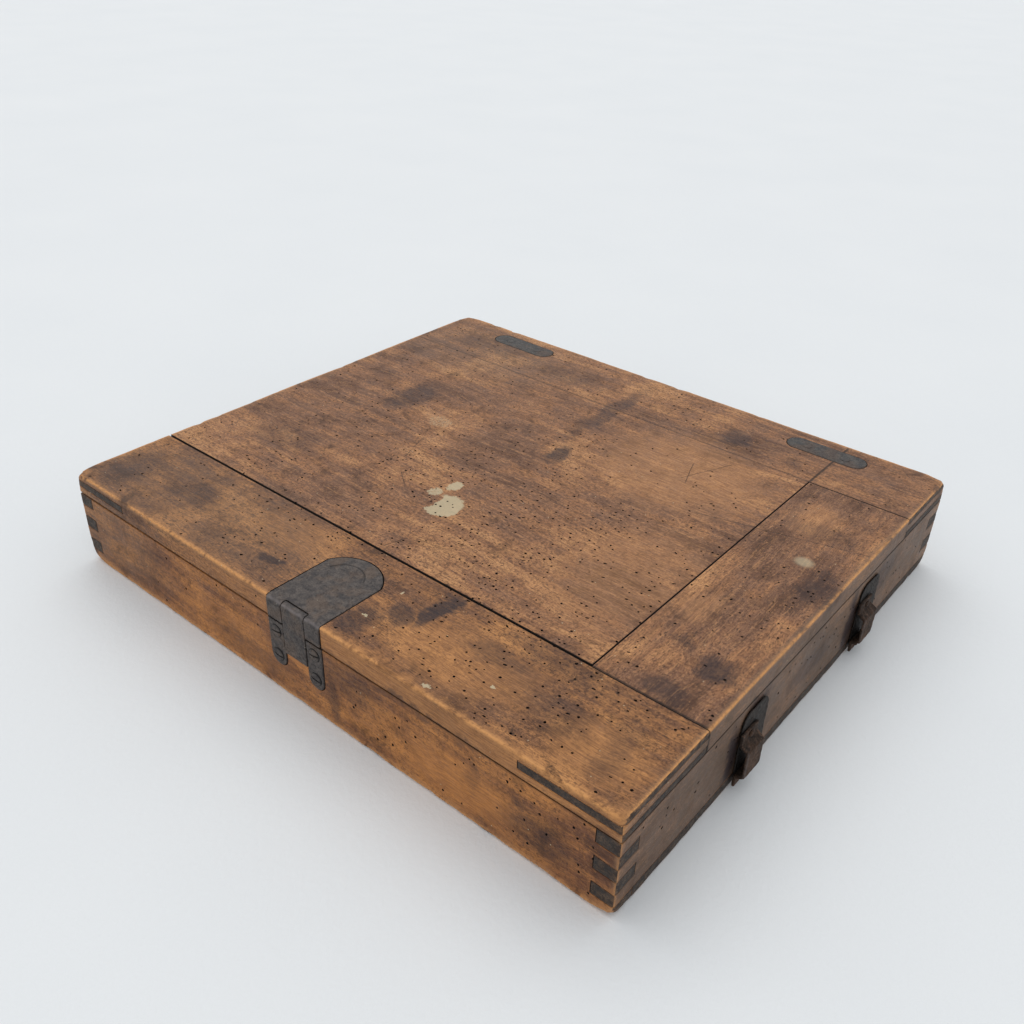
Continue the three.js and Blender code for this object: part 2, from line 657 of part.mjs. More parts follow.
function addHinge(side) {
  add(`hinge_${side}_cover`, coverPlate(side), iron);
  add(`hinge_${side}_lid_leaf`, lidLeaf(side), iron);
  add(`hinge_${side}_wall_leaf`, wallLeaf(side), iron);
  add(`hinge_${side}_pin`, hingePin(side), iron);
  for (const { name, at } of rivetPlaces(side)) {
    add(name, lidRivet(at, 0), iron);
  }
  for (const { name, at, slotAngle } of hingeScrewPlaces(side)) {
    add(name, slottedScrew({ ...HINGE_SCREW, slotAngle }).translate(at), iron);
  }
}

function addLoop(place) {
  const middle = LOOP_MIDDLES[place];
  const holes = loopNailHoles(place, 0.2);
  add(`loop_${place}_plate`, cut(loopPlate(middle), holes), iron);
  add(`loop_${place}_bridge`, cut(loopBridge(middle), holes), rustyIron);
  for (const spot of loopNailPlaces(place)) {
    add(spot.name, loopNail(spot), rustyIron);
  }
}

addTray();
addLid();
addHasp();
Object.keys(HINGE_MIDDLES).forEach(addHinge);
Object.keys(LOOP_MIDDLES).forEach(addLoop);

// Stand the part on Z = 0 with the middle of its outer bounds over the origin.
const bounds = new THREE.Box3().setFromObject(part);
const middle = bounds.getCenter(new THREE.Vector3());
part.children.forEach((piece) => piece.geometry.translate(-middle.x, -middle.y, -bounds.min.z));

export default part;
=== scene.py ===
"""An old lidded case for large sheets: worn wooden boards, dark iron hasp, hinges and strap loops.

Shapes are laid out in millimetres from the case's front left bottom corner, with X along the
front, Y to the back and Z up, and are turned into metres in the part's own frame at the end.
"""
import math
import random

import bmesh
import bpy
import numpy as np
from mathutils import Matrix, Vector, noise


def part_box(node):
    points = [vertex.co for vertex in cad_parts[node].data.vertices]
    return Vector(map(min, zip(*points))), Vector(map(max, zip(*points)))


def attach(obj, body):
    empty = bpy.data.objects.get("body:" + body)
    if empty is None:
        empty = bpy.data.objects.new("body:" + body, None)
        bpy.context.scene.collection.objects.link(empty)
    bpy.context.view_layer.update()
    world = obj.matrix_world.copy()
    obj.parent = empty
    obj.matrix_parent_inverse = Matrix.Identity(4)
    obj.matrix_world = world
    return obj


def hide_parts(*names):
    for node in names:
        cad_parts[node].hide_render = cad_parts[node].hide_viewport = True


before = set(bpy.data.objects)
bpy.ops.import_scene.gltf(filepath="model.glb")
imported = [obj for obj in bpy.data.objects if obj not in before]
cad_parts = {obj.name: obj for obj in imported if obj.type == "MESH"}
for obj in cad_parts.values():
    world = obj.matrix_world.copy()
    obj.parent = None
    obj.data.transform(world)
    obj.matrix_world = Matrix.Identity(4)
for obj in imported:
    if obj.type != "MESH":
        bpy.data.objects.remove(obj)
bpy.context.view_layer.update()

MM = 0.001
CORNER = np.array(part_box("front_wall")[0])


def span(node):
    """A CAD node's lowest and highest corners in millimetres from the case's corner."""
    low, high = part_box(node)
    return (np.array(low) - CORNER) / MM, (np.array(high) - CORNER) / MM


# ---------- sizes, from the frame ----------

WIDTH = span("front_wall")[1][0]
DEPTH = span("right_wall")[1][1]
LID_BOTTOM, HEIGHT = span("lid_front_rail")[0][2], span("lid_front_rail")[1][2]
TRAY_TOP = span("front_wall")[1][2]
END_WALL = span("front_wall")[1][1]
SIDE_WALL = span("left_wall")[1][0]
CASE = np.array([WIDTH, DEPTH, HEIGHT])
FINGERS = 6
FINGER = TRAY_TOP / FINGERS
FIT = 0.3

RAIL_DEPTH = span("lid_front_rail")[1][1]
BOARD_FRONT = span("lid_main_board")[0][1]
STILE_LEFT = span("lid_right_stile")[0][0]
STILE_BACK = 315
STILE_GAP = 0.7
TONGUE_LOW, TONGUE_HIGH = span("lid_left_batten")[0][2], span("lid_left_batten")[1][2]
RIGHT_TONGUE_LEFT = 372
LEFT_TONGUE_RIGHT = span("lid_left_batten")[1][0]

HASP_LOW, HASP_HIGH = span("hasp_plate")
STRAP_LOW, STRAP_HIGH = span("hasp_strap")
HASP_MIDDLE = (HASP_LOW[0] + HASP_HIGH[0]) / 2
HASP_NOSE_RADIUS = 24
HASP_THICK = 2
HASP_RIVETS = [(span(f"hasp_rivet_{n}")[0][1] + span(f"hasp_rivet_{n}")[1][1]) / 2 for n in (1, 2)]

# ---------- wear ----------

ARRIS_RADIUS = 0.9
CORNER_RADIUS = 4.4
FOOT_RADIUS = 2.4
SEAM_GAPE = 0.9
SURFACE_SWELL = 0.16


def wander(points, size, seed):
    """Smooth noise from about -1 to 1 at each point, with lumps of the given size."""
    shift = Vector((seed * 17.3, seed * 5.1, seed * 9.7))
    return np.array([noise.noise(Vector(p) / size + shift) for p in points]) * 1.6


def corner_distance(points):
    """Distance from each point to the case's nearest corner."""
    gaps = np.minimum(points, CASE - points)
    return np.sqrt((gaps ** 2).sum(axis=1))


def wear_away(points):
    """Rounds the closed case's outer arrises and corners by an uneven amount."""
    corner = corner_distance(points)
    radius = ARRIS_RADIUS + 0.35 * wander(points, 38, 1) + 0.3 * wander(points, 8, 2)
    chips = np.clip(wander(points, 5, 3) - 0.6, 0, 1) * 3.5
    foot = np.exp(-((points[:, 2] / 5) ** 2)) * (1 + 0.5 * wander(points, 14, 10))
    radius = radius + chips + (FOOT_RADIUS - ARRIS_RADIUS) * foot
    radius = radius + (CORNER_RADIUS - ARRIS_RADIUS) * np.exp(-((corner / 9) ** 2))
    radius = np.clip(radius, 0.5, 6)[:, None]
    core = np.clip(points, radius, CASE - radius)
    away = points - core
    reach = np.abs(away).max(axis=1)
    length = np.linalg.norm(away, axis=1)
    scale = np.where(length > 1e-9, reach / np.maximum(length, 1e-9), 1)
    return core + away * scale[:, None]


def swell(points):
    """Gives the flat outer faces a slight hand-planed unevenness."""
    moved = points.copy()
    for axis in range(3):
        middle = CASE[axis] / 2
        outward = (points[:, axis] - middle) / middle
        strength = np.clip(np.abs(outward) * 4 - 3, 0, 1) * np.sign(outward)
        moved[:, axis] += strength * SURFACE_SWELL * (wander(points, 55, 4 + axis) - 0.6)
    return moved


def sag_front_edge(points):
    """Opens the seam under the lid towards the front left corner."""
    left = np.clip(1 - points[:, 0] / 300, 0, 1)
    front = np.clip(1 - points[:, 1] / 80, 0, 1)
    high = np.clip(points[:, 2] / TRAY_TOP, 0, 1) ** 6
    moved = points.copy()
    moved[:, 2] -= SEAM_GAPE * np.sqrt(left) * front * high * (points[:, 2] <= TRAY_TOP + 0.1)
    return moved


# ---------- mesh building ----------

EDGE_STEPS = (0.8, 1.7, 3.0)
BOARD_STEP = 5.0
GRAIN_SLOT, END_SLOT, HOLE_SLOT = 0, 1, 2


def grid_lines(low, high, hard):
    """Cut positions from low to high: every hard line, finer steps beside each, even steps between."""
    hard = sorted({low, high, *(h for h in hard if low < h < high)})
    lines = []
    for start, end in zip(hard, hard[1:]):
        room = end - start
        fine = [step for step in EDGE_STEPS if step < room / 2 - 0.2]
        inner_low = start + (fine[-1] if fine else 0)
        inner_high = end - (fine[-1] if fine else 0)
        count = max(1, math.ceil((inner_high - inner_low) / BOARD_STEP))
        lines.append(start)
        lines += [start + step for step in fine[:-1]]
        lines += [v for v in np.linspace(inner_low, inner_high, count + 1) if start < v < end]
        lines += [end - step for step in reversed(fine[:-1])]
    return np.array([*lines, high])


def grid_solid(adds, cuts):
    """Points and quads of the boxes in adds less the boxes in cuts, on one shared grid."""
    low = np.min([a[0] for a in adds], axis=0)
    high = np.max([a[1] for a in adds], axis=0)
    boxes = [*adds, *cuts]
    lines = [grid_lines(low[k], high[k], [corner[k] for b in boxes for corner in b]) for k in range(3)]
    middles = [(axis[1:] + axis[:-1]) / 2 for axis in lines]
    cells = np.stack(np.meshgrid(*middles, indexing="ij"), axis=-1)
    filled = np.zeros(cells.shape[:3], bool)
    for box_low, box_high in adds:
        filled |= ((cells > box_low) & (cells < box_high)).all(axis=-1)
    for box_low, box_high in cuts:
        filled &= ~((cells > box_low) & (cells < box_high)).all(axis=-1)
    return boundary_quads(lines, np.pad(filled, 1))


def boundary_quads(lines, filled):
    """Points and outward quads of the skin between a grid's filled cells and its empty ones."""
    counts = [len(axis) for axis in lines]
    quads = []
    for axis in range(3):
        u, v = (axis + 1) % 3, (axis + 2) % 3
        ahead = np.take(filled, range(1, filled.shape[axis]), axis=axis)
        behind = np.take(filled, range(filled.shape[axis] - 1), axis=axis)
        for solid_behind in (True, False):
            mask = (behind & ~ahead) if solid_behind else (ahead & ~behind)
            index = np.argwhere(mask)
            index[:, u] -= 1
            index[:, v] -= 1
            corners = []
            for du, dv in ((0, 0), (1, 0), (1, 1), (0, 1)):
                corner = index.copy()
                corner[:, u] += du
                corner[:, v] += dv
                corners.append(np.ravel_multi_index(corner.T, counts))
            quads.append(np.stack(corners if solid_behind else corners[::-1], axis=1))
    quads = np.concatenate(quads)
    used, quads = np.unique(quads, return_inverse=True)
    places = np.stack(np.unravel_index(used, counts), axis=1)
    points = np.stack([lines[k][places[:, k]] for k in range(3)], axis=1)
    return points, quads.reshape(-1, 4)


def mesh_from(name, points, faces):
    mesh = bpy.data.meshes.new(name)
    mesh.from_pydata(np.asarray(points).tolist(), [], [[int(i) for i in face] for face in faces])
    mesh.update()
    return mesh


def prism(outline, low, high, axis=2):
    """Points and faces of a closed outline pulled along an axis between two levels."""
    count = len(outline)
    u, v = (axis + 1) % 3, (axis + 2) % 3
    points = np.zeros((2 * count, 3))
    points[:, u] = np.tile([p[0] for p in outline], 2)
    points[:, v] = np.tile([p[1] for p in outline], 2)
    points[:count, axis] = low
    points[count:, axis] = high
    sides = [(i, (i + 1) % count, count + (i + 1) % count, count + i) for i in range(count)]
    caps = [tuple(range(count - 1, -1, -1)), tuple(range(count, 2 * count))]
    return points, sides + caps


def add_slots(mesh):
    """Room for the three materials of a wooden piece: grain, end grain and holes."""
    for _ in (GRAIN_SLOT, END_SLOT, HOLE_SLOT):
        mesh.materials.append(None)


def joined(name, solids, slot):
    """One mesh of separate closed solids, all in one material slot."""
    points, faces = [], []
    for solid_points, solid_faces in solids:
        start = len(points)
        points += [tuple(p) for p in solid_points]
        faces += [tuple(i + start for i in face) for face in solid_faces]
    mesh = bpy.data.meshes.new(name)
    mesh.from_pydata(points, [], faces)
    mesh.polygons.foreach_set("material_index", [slot] * len(faces))
    add_slots(mesh)
    return mesh


def with_modifiers(mesh, settings):
    """The mesh after a stack of modifiers, given as (kind, settings) pairs."""
    holder = bpy.data.objects.new("holder", mesh)
    bpy.context.scene.collection.objects.link(holder)
    for kind, values in settings:
        modifier = holder.modifiers.new(kind, kind)
        for key, value in values.items():
            setattr(modifier, key, value)
    evaluated = holder.evaluated_get(bpy.context.evaluated_depsgraph_get())
    result = bpy.data.meshes.new_from_object(evaluated)
    bpy.data.objects.remove(holder)
    return result


def carved(mesh, solids, slot):
    """The mesh with closed solids cut out of it; the cut faces take the given slot."""
    if not solids:
        return mesh
    tool = bpy.data.objects.new("tool", joined("tool", solids, slot))
    bpy.context.scene.collection.objects.link(tool)
    cut = {"operation": "DIFFERENCE", "solver": "MANIFOLD", "object": tool}
    result = with_modifiers(mesh, [("BOOLEAN", cut)])
    bpy.data.objects.remove(tool)
    return result


def coordinates(mesh):
    values = np.empty(len(mesh.vertices) * 3)
    mesh.vertices.foreach_get("co", values)
    return values.reshape(-1, 3)


def place_points(mesh, points):
    mesh.vertices.foreach_set("co", np.asarray(points).ravel())
    mesh.update()


def paint(mesh, name, values):
    """Stores a value from 0 to 1 at each point, for the material to read."""
    mesh.attributes.new(name, "FLOAT", "POINT")
    mesh.attributes[name].data.foreach_set("value", np.clip(values, 0, 1).astype(np.float32))


def finished(name, mesh, materials, body, node, sharp=35):
    """Puts a mesh drawn in millimetres into the part's frame as the piece that stands for a node."""
    place_points(mesh, coordinates(mesh) * MM + CORNER)
    slots = [face.material_index for face in mesh.polygons]
    mesh.materials.clear()
    for material in materials:
        mesh.materials.append(material)
    mesh.polygons.foreach_set("material_index", [min(index, len(materials) - 1) for index in slots])
    mesh.polygons.foreach_set("use_smooth", [True] * len(mesh.polygons))
    mesh.set_sharp_from_angle(angle=math.radians(sharp))
    mesh.name = name
    piece = bpy.data.objects.new(name, mesh)
    bpy.context.scene.collection.objects.link(piece)
    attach(piece, body)
    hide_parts(node)
    return piece


# ---------- shader helper ----------


def srgb(red, green, blue):
    """A colour given in display values from 0 to 255, as the shader's linear colour."""
    values = [channel / 255 for channel in (red, green, blue)]
    return (*[v / 12.92 if v < 0.04045 else ((v + 0.055) / 1.055) ** 2.4 for v in values], 1)


class Shader:
    """A node material, with the few kinds of node that this script uses as short methods."""

    def __init__(self, name):
        self.material = bpy.data.materials.new(name)
        self.material.use_nodes = True
        self.nodes = self.material.node_tree.nodes
        self.links = self.material.node_tree.links
        self.surface = self.nodes["Principled BSDF"]

    def feed(self, socket, value):
        if isinstance(value, bpy.types.NodeSocket):
            self.links.new(value, socket)
        else:
            socket.default_value = value

    def node(self, kind, inputs=(), **settings):
        made = self.nodes.new(kind)
        for key, value in settings.items():
            setattr(made, key, value)
        for key, value in dict(inputs).items():
            self.feed(made.inputs[key], value)
        return made

    def place(self):
        """Position in millimetres from the case's front left bottom corner."""
        where = self.node("ShaderNodeTexCoord").outputs["Object"]
        moved = self.vector("SUBTRACT", where, tuple(CORNER))
        return self.vector("SCALE", moved, scale=1 / MM)

    def lumps(self, where, size):
        """Position for a noise with lumps of the given size in millimetres."""
        return self.vector("SCALE", where, scale=1 / size)

    def drawn(self, where, grain, along, across):
        """Position for a noise drawn out along the grain, its lumps' two sizes in millimetres."""
        sizes = [along if axis == grain else across for axis in range(3)]
        return self.vector("MULTIPLY", where, tuple(1 / size for size in sizes))

    def centred(self, colour, reach):
        """A colour noise turned into a shift of up to half the reach either way."""
        return self.vector("SCALE", self.vector("SUBTRACT", colour, (0.5, 0.5, 0.5)), scale=reach)

    def vector(self, operation, a, b=None, scale=None):
        made = self.node("ShaderNodeVectorMath", {0: a}, operation=operation)
        if b is not None:
            self.feed(made.inputs[1], b)
        if scale is not None:
            self.feed(made.inputs["Scale"], scale)
        return made.outputs["Value" if operation in ("LENGTH", "DOT_PRODUCT") else "Vector"]

    def math(self, operation, a, b=0.0, clamp=False):
        return self.node("ShaderNodeMath", {0: a, 1: b}, operation=operation, use_clamp=clamp).outputs[0]

    def parts(self, vector):
        return self.node("ShaderNodeSeparateXYZ", {0: vector}).outputs

    def noise(self, where, detail=3.0, rough=0.5, distortion=0.0):
        inputs = {"Vector": where, "Scale": 1.0, "Detail": detail, "Roughness": rough,
                  "Distortion": distortion}
        return self.node("ShaderNodeTexNoise", inputs).outputs

    def cells(self, where, feature="F1", randomness=1.0):
        inputs = {"Vector": where, "Scale": 1.0, "Randomness": randomness}
        return self.node("ShaderNodeTexVoronoi", inputs, feature=feature).outputs

    def between(self, value, low, high, out_low=0.0, out_high=1.0):
        inputs = {"Value": value, 1: low, 2: high, 3: out_low, 4: out_high}
        made = self.node("ShaderNodeMapRange", inputs, interpolation_type="SMOOTHSTEP")
        return made.outputs[0]

    def ramp(self, value, stops):
        made = self.node("ShaderNodeValToRGB", {0: value})
        elements = made.color_ramp.elements
        while len(elements) < len(stops):
            elements.new(0.5)
        for element, (position, colour) in zip(elements, stops):
            element.position = position
            element.color = colour
        return made.outputs[0]

    def mix(self, factor, a, b, blend="MIX"):
        made = self.node("ShaderNodeMix", data_type="RGBA", blend_type=blend)
        self.feed(made.inputs[0], factor)
        self.feed(made.inputs[6], a)
        self.feed(made.inputs[7], b)
        return made.outputs[2]

    def attribute(self, name):
        return self.node("ShaderNodeAttribute", attribute_name=name).outputs["Fac"]

    def bump(self, height, distance, below=None):
        inputs = {"Height": height, "Strength": 1.0, "Distance": distance}
        made = self.node("ShaderNodeBump", inputs)
        if below is not None:
            self.feed(made.inputs["Normal"], below)
        return made.outputs[0]

    def spot(self, where, centre, radii):
        """1 inside an ellipsoid, fading to 0 a little outside it."""
        away = self.vector("SUBTRACT", where, centre)
        scaled = self.vector("DIVIDE", away, radii)
        return self.between(self.vector("LENGTH", scaled), 1.3, 0.5)

    def layered(self, colour, layers):
        """Lays colours on one by one: (value, where it starts and ends, its two strengths, colour)."""
        for value, (low, high), (weak, strong), over in layers:
            colour = self.mix(self.between(value, low, high, weak, strong), colour, over)
        return colour

    def specks(self, where, apart, size, share):
        """Small dots of lint: 1 in the dots of a share of the cells, given as a range."""
        lint = self.cells(self.lumps(where, apart))
        dots = self.between(lint["Distance"], size, 0.03)
        return self.math("MULTIPLY", dots, self.between(self.parts(lint["Color"])[0], *share))

    def surfaced(self, colour, rough, normal):
        """Feeds the three main inputs and gives back the material."""
        self.feed(self.surface.inputs["Base Color"], colour)
        self.feed(self.surface.inputs["Roughness"], rough)
        self.feed(self.surface.inputs["Normal"], normal)
        return self.material


# ---------- wood ----------

# Each set of tones runs from shade to highlight.
LID_TONES = (srgb(86, 56, 38), srgb(130, 93, 70), srgb(155, 108, 73), srgb(196, 143, 95))
RAIL_TONES = (srgb(76, 48, 31), srgb(118, 82, 59), srgb(147, 100, 62), srgb(188, 132, 80))
WALL_TONES = (srgb(74, 45, 30), srgb(120, 78, 53), srgb(154, 102, 60), srgb(190, 127, 68))
GRIME = srgb(58, 41, 32)
INK_AND_SHADOW = srgb(38, 32, 37)
WORN_ORANGE = srgb(200, 143, 88)
WEATHERED = srgb(98, 84, 72)
RESIDUE = srgb(188, 174, 144)
# Near-black for painted shade along the seam and in joints, and for cracks and end-grain pores.
HOLE_DARK = srgb(22, 14, 10)

# Stains on the case: middle and radii in millimetres, and how dark. The band along the seam under the lid is
# painted shade, and the two spots beside the strap loops are stain with a painted shadow of each loop.
STAINS_AND_SHADOWS = [
    ((80, 228, 67), (15, 25, 9), 0.7),
    ((216, 233, 67), (7, 14, 9), 0.85),
    ((205, 305, 67), (8, 56, 9), 0.6),
    ((294, 336, 67), (13, 11, 9), 0.65),
    ((339, 333, 67), (9, 8, 9), 0.4),
    ((60, 120, 67), (30, 18, 9), 0.4),
    ((140, 340, 67), (40, 14, 9), 0.4),
    ((411, 109, 67), (14, 12, 9), 0.85),
    ((386, 118, 67), (7, 6, 9), 0.55),
    ((399, 79, 67), (16, 8, 9), 0.6),
    ((420, 205, 67), (12, 22, 9), 0.6),
    ((398, 262, 67), (24, 12, 9), 0.4),
    ((274, 52, 67), (7, 20, 9), 0.95),
    ((262, 34, 67), (9, 13, 9), 0.75),
    ((247, 18, 67), (10, 14, 9), 0.7),
    ((322, 44, 67), (20, 8, 9), 0.5),
    ((372, 30, 67), (18, 12, 9), 0.35),
    ((171, 24, 67), (10, 4, 9), 0.8),
    ((80, 34, 67), (26, 12, 9), 0.5),
    ((20, 30, 67), (14, 22, 9), 0.4),
    ((62, 345, 67), (34, 16, 9), 0.45),
    ((244, 0, 25), (6, 6, 26), 0.6),
    ((374, 0, 36), (6, 5, 4), 0.5),
    ((345, 0, 34), (5, 5, 12), 0.35),
    ((385, 0, 22), (22, 7, 14), 0.55),
    ((255, 0, 40), (30, 7, 12), 0.5),
    ((170, 0, 16), (40, 7, 10), 0.4),
    ((350, 62, 67), (34, 12, 9), 0.4),
    ((405, 30, 67), (9, 22, 9), 0.4),
    # Painted shade along the seam under the lid.
    ((300, 0, 52), (70, 5, 2.5), 0.5),
    # Stain and a painted shadow beside the front strap loop.
    ((430, 101, 24), (8, 7, 24), 0.95),
    # Stain and a painted shadow beside the rear strap loop.
    ((430, 244, 26), (8, 8, 26), 0.95),
    ((430, 128, 48), (8, 14, 8), 0.7),
    ((430, 290, 40), (8, 20, 12), 0.5),
    ((430, 190, 30), (8, 30, 10), 0.45),
]

# Places where the finish has gone and the timber shows orange.
BARE_WOOD = [
    ((300, 0, 59), (170, 10, 9), 0.6),
    ((335, 0, 22), (38, 8, 18), 0.75),
    ((216, 0, 30), (12, 6, 4), 0.9),
    ((160, 0, 20), (50, 6, 16), 0.35),
    ((290, 268, 67), (62, 52, 9), 0.45),
    ((330, 150, 67), (40, 60, 9), 0.3),
    ((310, 30, 67), (48, 24, 9), 0.5),
    ((400, 25, 67), (26, 20, 9), 0.5),
    ((165, 50, 67), (34, 16, 9), 0.4),
    ((385, 275, 67), (14, 22, 9), 0.4),
    ((378, 150, 67), (12, 16, 9), 0.35),
]

# Faces gone grey from handling and damp.
GREYED = [
    ((430, 190, 34), (4, 240, 70), 0.75),
    ((430, 350, 30), (4, 50, 40), 0.8),
    ((60, 330, 67), (90, 50, 5), 0.3),
    ((90, 30, 67), (130, 45, 5), 0.35),
    ((0, 190, 34), (4, 240, 70), 0.5),
    ((215, 380, 34), (260, 4, 60), 0.5),
    ((30, 0, 30), (60, 3, 30), 0.4),
]

# Hairline cracks across the lid: two ends in millimetres.
CRACKS = [
    ((326, 231, 67), (430, 259, 67)),
    ((296, 262, 67), (312, 300, 67)),
    ((301, 258, 67), (292, 284, 67)),
    ((206, 70, 67), (214, 96, 67)),
    ((132, 185, 67), (141, 160, 67)),
    ((155, 142, 67), (172, 129, 67)),
]


# Old glue left on the lid: middle and radii in millimetres, and how thick.
GLUE = [
    ((203, 131, 67), (15, 15, 6), 0.92),
    ((193, 153, 67), (6, 7, 6), 0.85),
    ((188, 140, 67), (7, 7, 6), 0.6),
    ((124, 212, 67), (15, 12, 6), 0.50),
    ((249, 50, 67), (1.3, 1.6, 3), 0.9),
    ((248, 23, 67), (2.0, 1.4, 3), 0.9),
    ((335, 26, 67), (1.8, 1.3, 3), 0.9),
    ((310, 5, 67), (3.5, 1.6, 3), 0.9),
]
GLUE_MISSING = ((190, 130, 67), (9, 10, 6), 1.0)
STILE_SPOT = ((401, 227, 67), (6.0, 5.0, 6), 0.65)


def crack_lines(sheet, where):
    """1 on any of the cracks and 0 a little away from them."""
    total = 0.0
    for start, end in CRACKS:
        start, end = Vector(start), Vector(end)
        run = end - start
        away = sheet.vector("SUBTRACT", where, tuple(start))
        along = sheet.vector("DOT_PRODUCT", away, tuple(run.normalized()))
        foot = sheet.vector("SCALE", tuple(run), scale=sheet.math("DIVIDE", along, run.length, True))
        gap = sheet.vector("LENGTH", sheet.vector("SUBTRACT", away, foot))
        total = sheet.math("MAXIMUM", sheet.between(gap, 0.45, 0.1), total)
    return total


def most(sheet, where, spots):
    """The strongest of several named spots at each point."""
    total = 0.0
    for centre, radii, strength in spots:
        mark = sheet.math("MULTIPLY", sheet.spot(where, centre, radii), strength)
        total = sheet.math("MAXIMUM", mark, total)
    return total


def residue(sheet, place):
    """Broken pale patches of old glue, of no shape, and a rubbed oval spot on the stile."""
    ragged = sheet.noise(sheet.lumps(place, 5), 6, 0.75)[1]
    loose = sheet.vector("ADD", place, sheet.centred(ragged, 9))
    main = sheet.math("SUBTRACT", most(sheet, loose, GLUE[:1]), most(sheet, loose, [GLUE_MISSING]), True)
    thick = sheet.math("MAXIMUM", main, most(sheet, loose, GLUE[1:]))
    grit = sheet.noise(sheet.lumps(place, 1.1), 3, 0.7)[0]
    kept = sheet.between(sheet.math("MULTIPLY", thick, sheet.math("ADD", grit, 0.5)), 0.46, 0.62)
    return sheet.math("MAXIMUM", kept, most(sheet, place, [STILE_SPOT]))


def figure(sheet, own, grain):
    """The noises that the timber is coloured from, by name, coarsest first."""
    sway = sheet.noise(sheet.lumps(own, 90), 2)[1]
    flow = sheet.vector("ADD", own, sheet.vector("SCALE", sway, scale=14))
    return {
        "patches": sheet.noise(sheet.lumps(own, 58), 6, 0.62, 0.4)[0],
        "bands": sheet.noise(sheet.drawn(flow, grain, 150, 8), 5, 0.62)[0],
        "smoke": sheet.noise(sheet.lumps(own, 19), 7, 0.68, 0.7)[0],
        "blotch": sheet.noise(sheet.drawn(flow, grain, 13, 5), 6, 0.7, 0.5)[0],
        "fibres": sheet.noise(sheet.drawn(flow, grain, 45, 1.9), 4, 0.65)[0],
        "freckle": sheet.noise(sheet.lumps(own, 1.7), 4, 0.7)[0],
        "streaks": sheet.noise(sheet.drawn(flow, grain, 14, 0.6), 3, 0.65)[0],
        "pores": sheet.noise(sheet.drawn(flow, grain, 3.2, 0.28), 2, 0.5)[0],
    }


def timber_colour(sheet, look, warm, soft, tones):
    """Bare timber: broad tones, then light and dark layers from coarse to fine."""
    shade, cool, brown, honey = tones
    broad = sheet.math("MULTIPLY", look["patches"], 0.62)
    level = sheet.math("ADD", broad, sheet.math("MULTIPLY", look["bands"], 0.38))
    level = sheet.between(sheet.math("ADD", level, warm), 0.34, 0.66)
    colour = sheet.ramp(level, [(0.0, shade), (0.30, cool), (0.66, brown), (1.0, honey)])
    return sheet.layered(colour, [
        (look["blotch"], (0.36, 0.50), (0.22, 0.0), shade),
        (look["blotch"], (0.54, 0.66), (0.0, 0.26), honey),
        (look["fibres"], (0.34, 0.54), (0.32 * soft, 0.0), shade),
        (look["fibres"], (0.54, 0.68), (0.0, 0.40 * soft), honey),
        (look["streaks"], (0.34, 0.52), (0.32 * soft, 0.0), shade),
        (look["streaks"], (0.56, 0.68), (0.0, 0.30 * soft), honey),
        (look["freckle"], (0.53, 0.60), (0.0, 0.68 * soft), shade),
        (look["freckle"], (0.42, 0.34), (0.0, 0.45 * soft), honey),
        (look["smoke"], (0.54, 0.70), (0.0, 0.55), GRIME),
        (look["pores"], (0.56, 0.63), (0.0, 0.85 * soft), GRIME),
    ])


def with_marks(sheet, place, look, tones, colour, rough, relief):
    """Adds the named marks of age and painted shade: bare and grey places, stains with painted shadows beside
    the loops and along the seam, cracks and old glue.
    """
    streaks = look["streaks"]
    warp = sheet.centred(sheet.noise(sheet.lumps(place, 17), 5, 0.68)[1], 24)
    loose = sheet.vector("ADD", place, warp)
    bright = sheet.mix(sheet.between(streaks, 0.38, 0.6), tones[2], tones[3])
    colour = sheet.mix(most(sheet, loose, BARE_WOOD), colour, bright)
    # Stains, with painted shade along the seam and painted shadows beside the strap loops.
    stains_and_shadows = sheet.math("MULTIPLY", most(sheet, loose, STAINS_AND_SHADOWS), sheet.between(streaks, 0.25, 0.6, 1.0, 0.85))
    greyed = sheet.math("MULTIPLY", most(sheet, place, GREYED), sheet.between(streaks, 0.7, 0.35, 0.5, 1.0))
    colour = sheet.mix(greyed, colour, WEATHERED)
    colour = sheet.mix(stains_and_shadows, colour, INK_AND_SHADOW)
    cracks = crack_lines(sheet, sheet.vector("ADD", place, sheet.vector("SCALE", warp, scale=0.08)))
    colour = sheet.mix(sheet.math("MULTIPLY", cracks, 0.7), colour, HOLE_DARK)
    glue = residue(sheet, place)
    colour = sheet.mix(sheet.math("MULTIPLY", glue, 0.8), colour, RESIDUE)
    rough = sheet.math("ADD", rough, sheet.math("MULTIPLY", glue, 0.25))
    relief = sheet.math("SUBTRACT", relief, sheet.math("MULTIPLY", cracks, 1.5))
    return colour, rough, relief


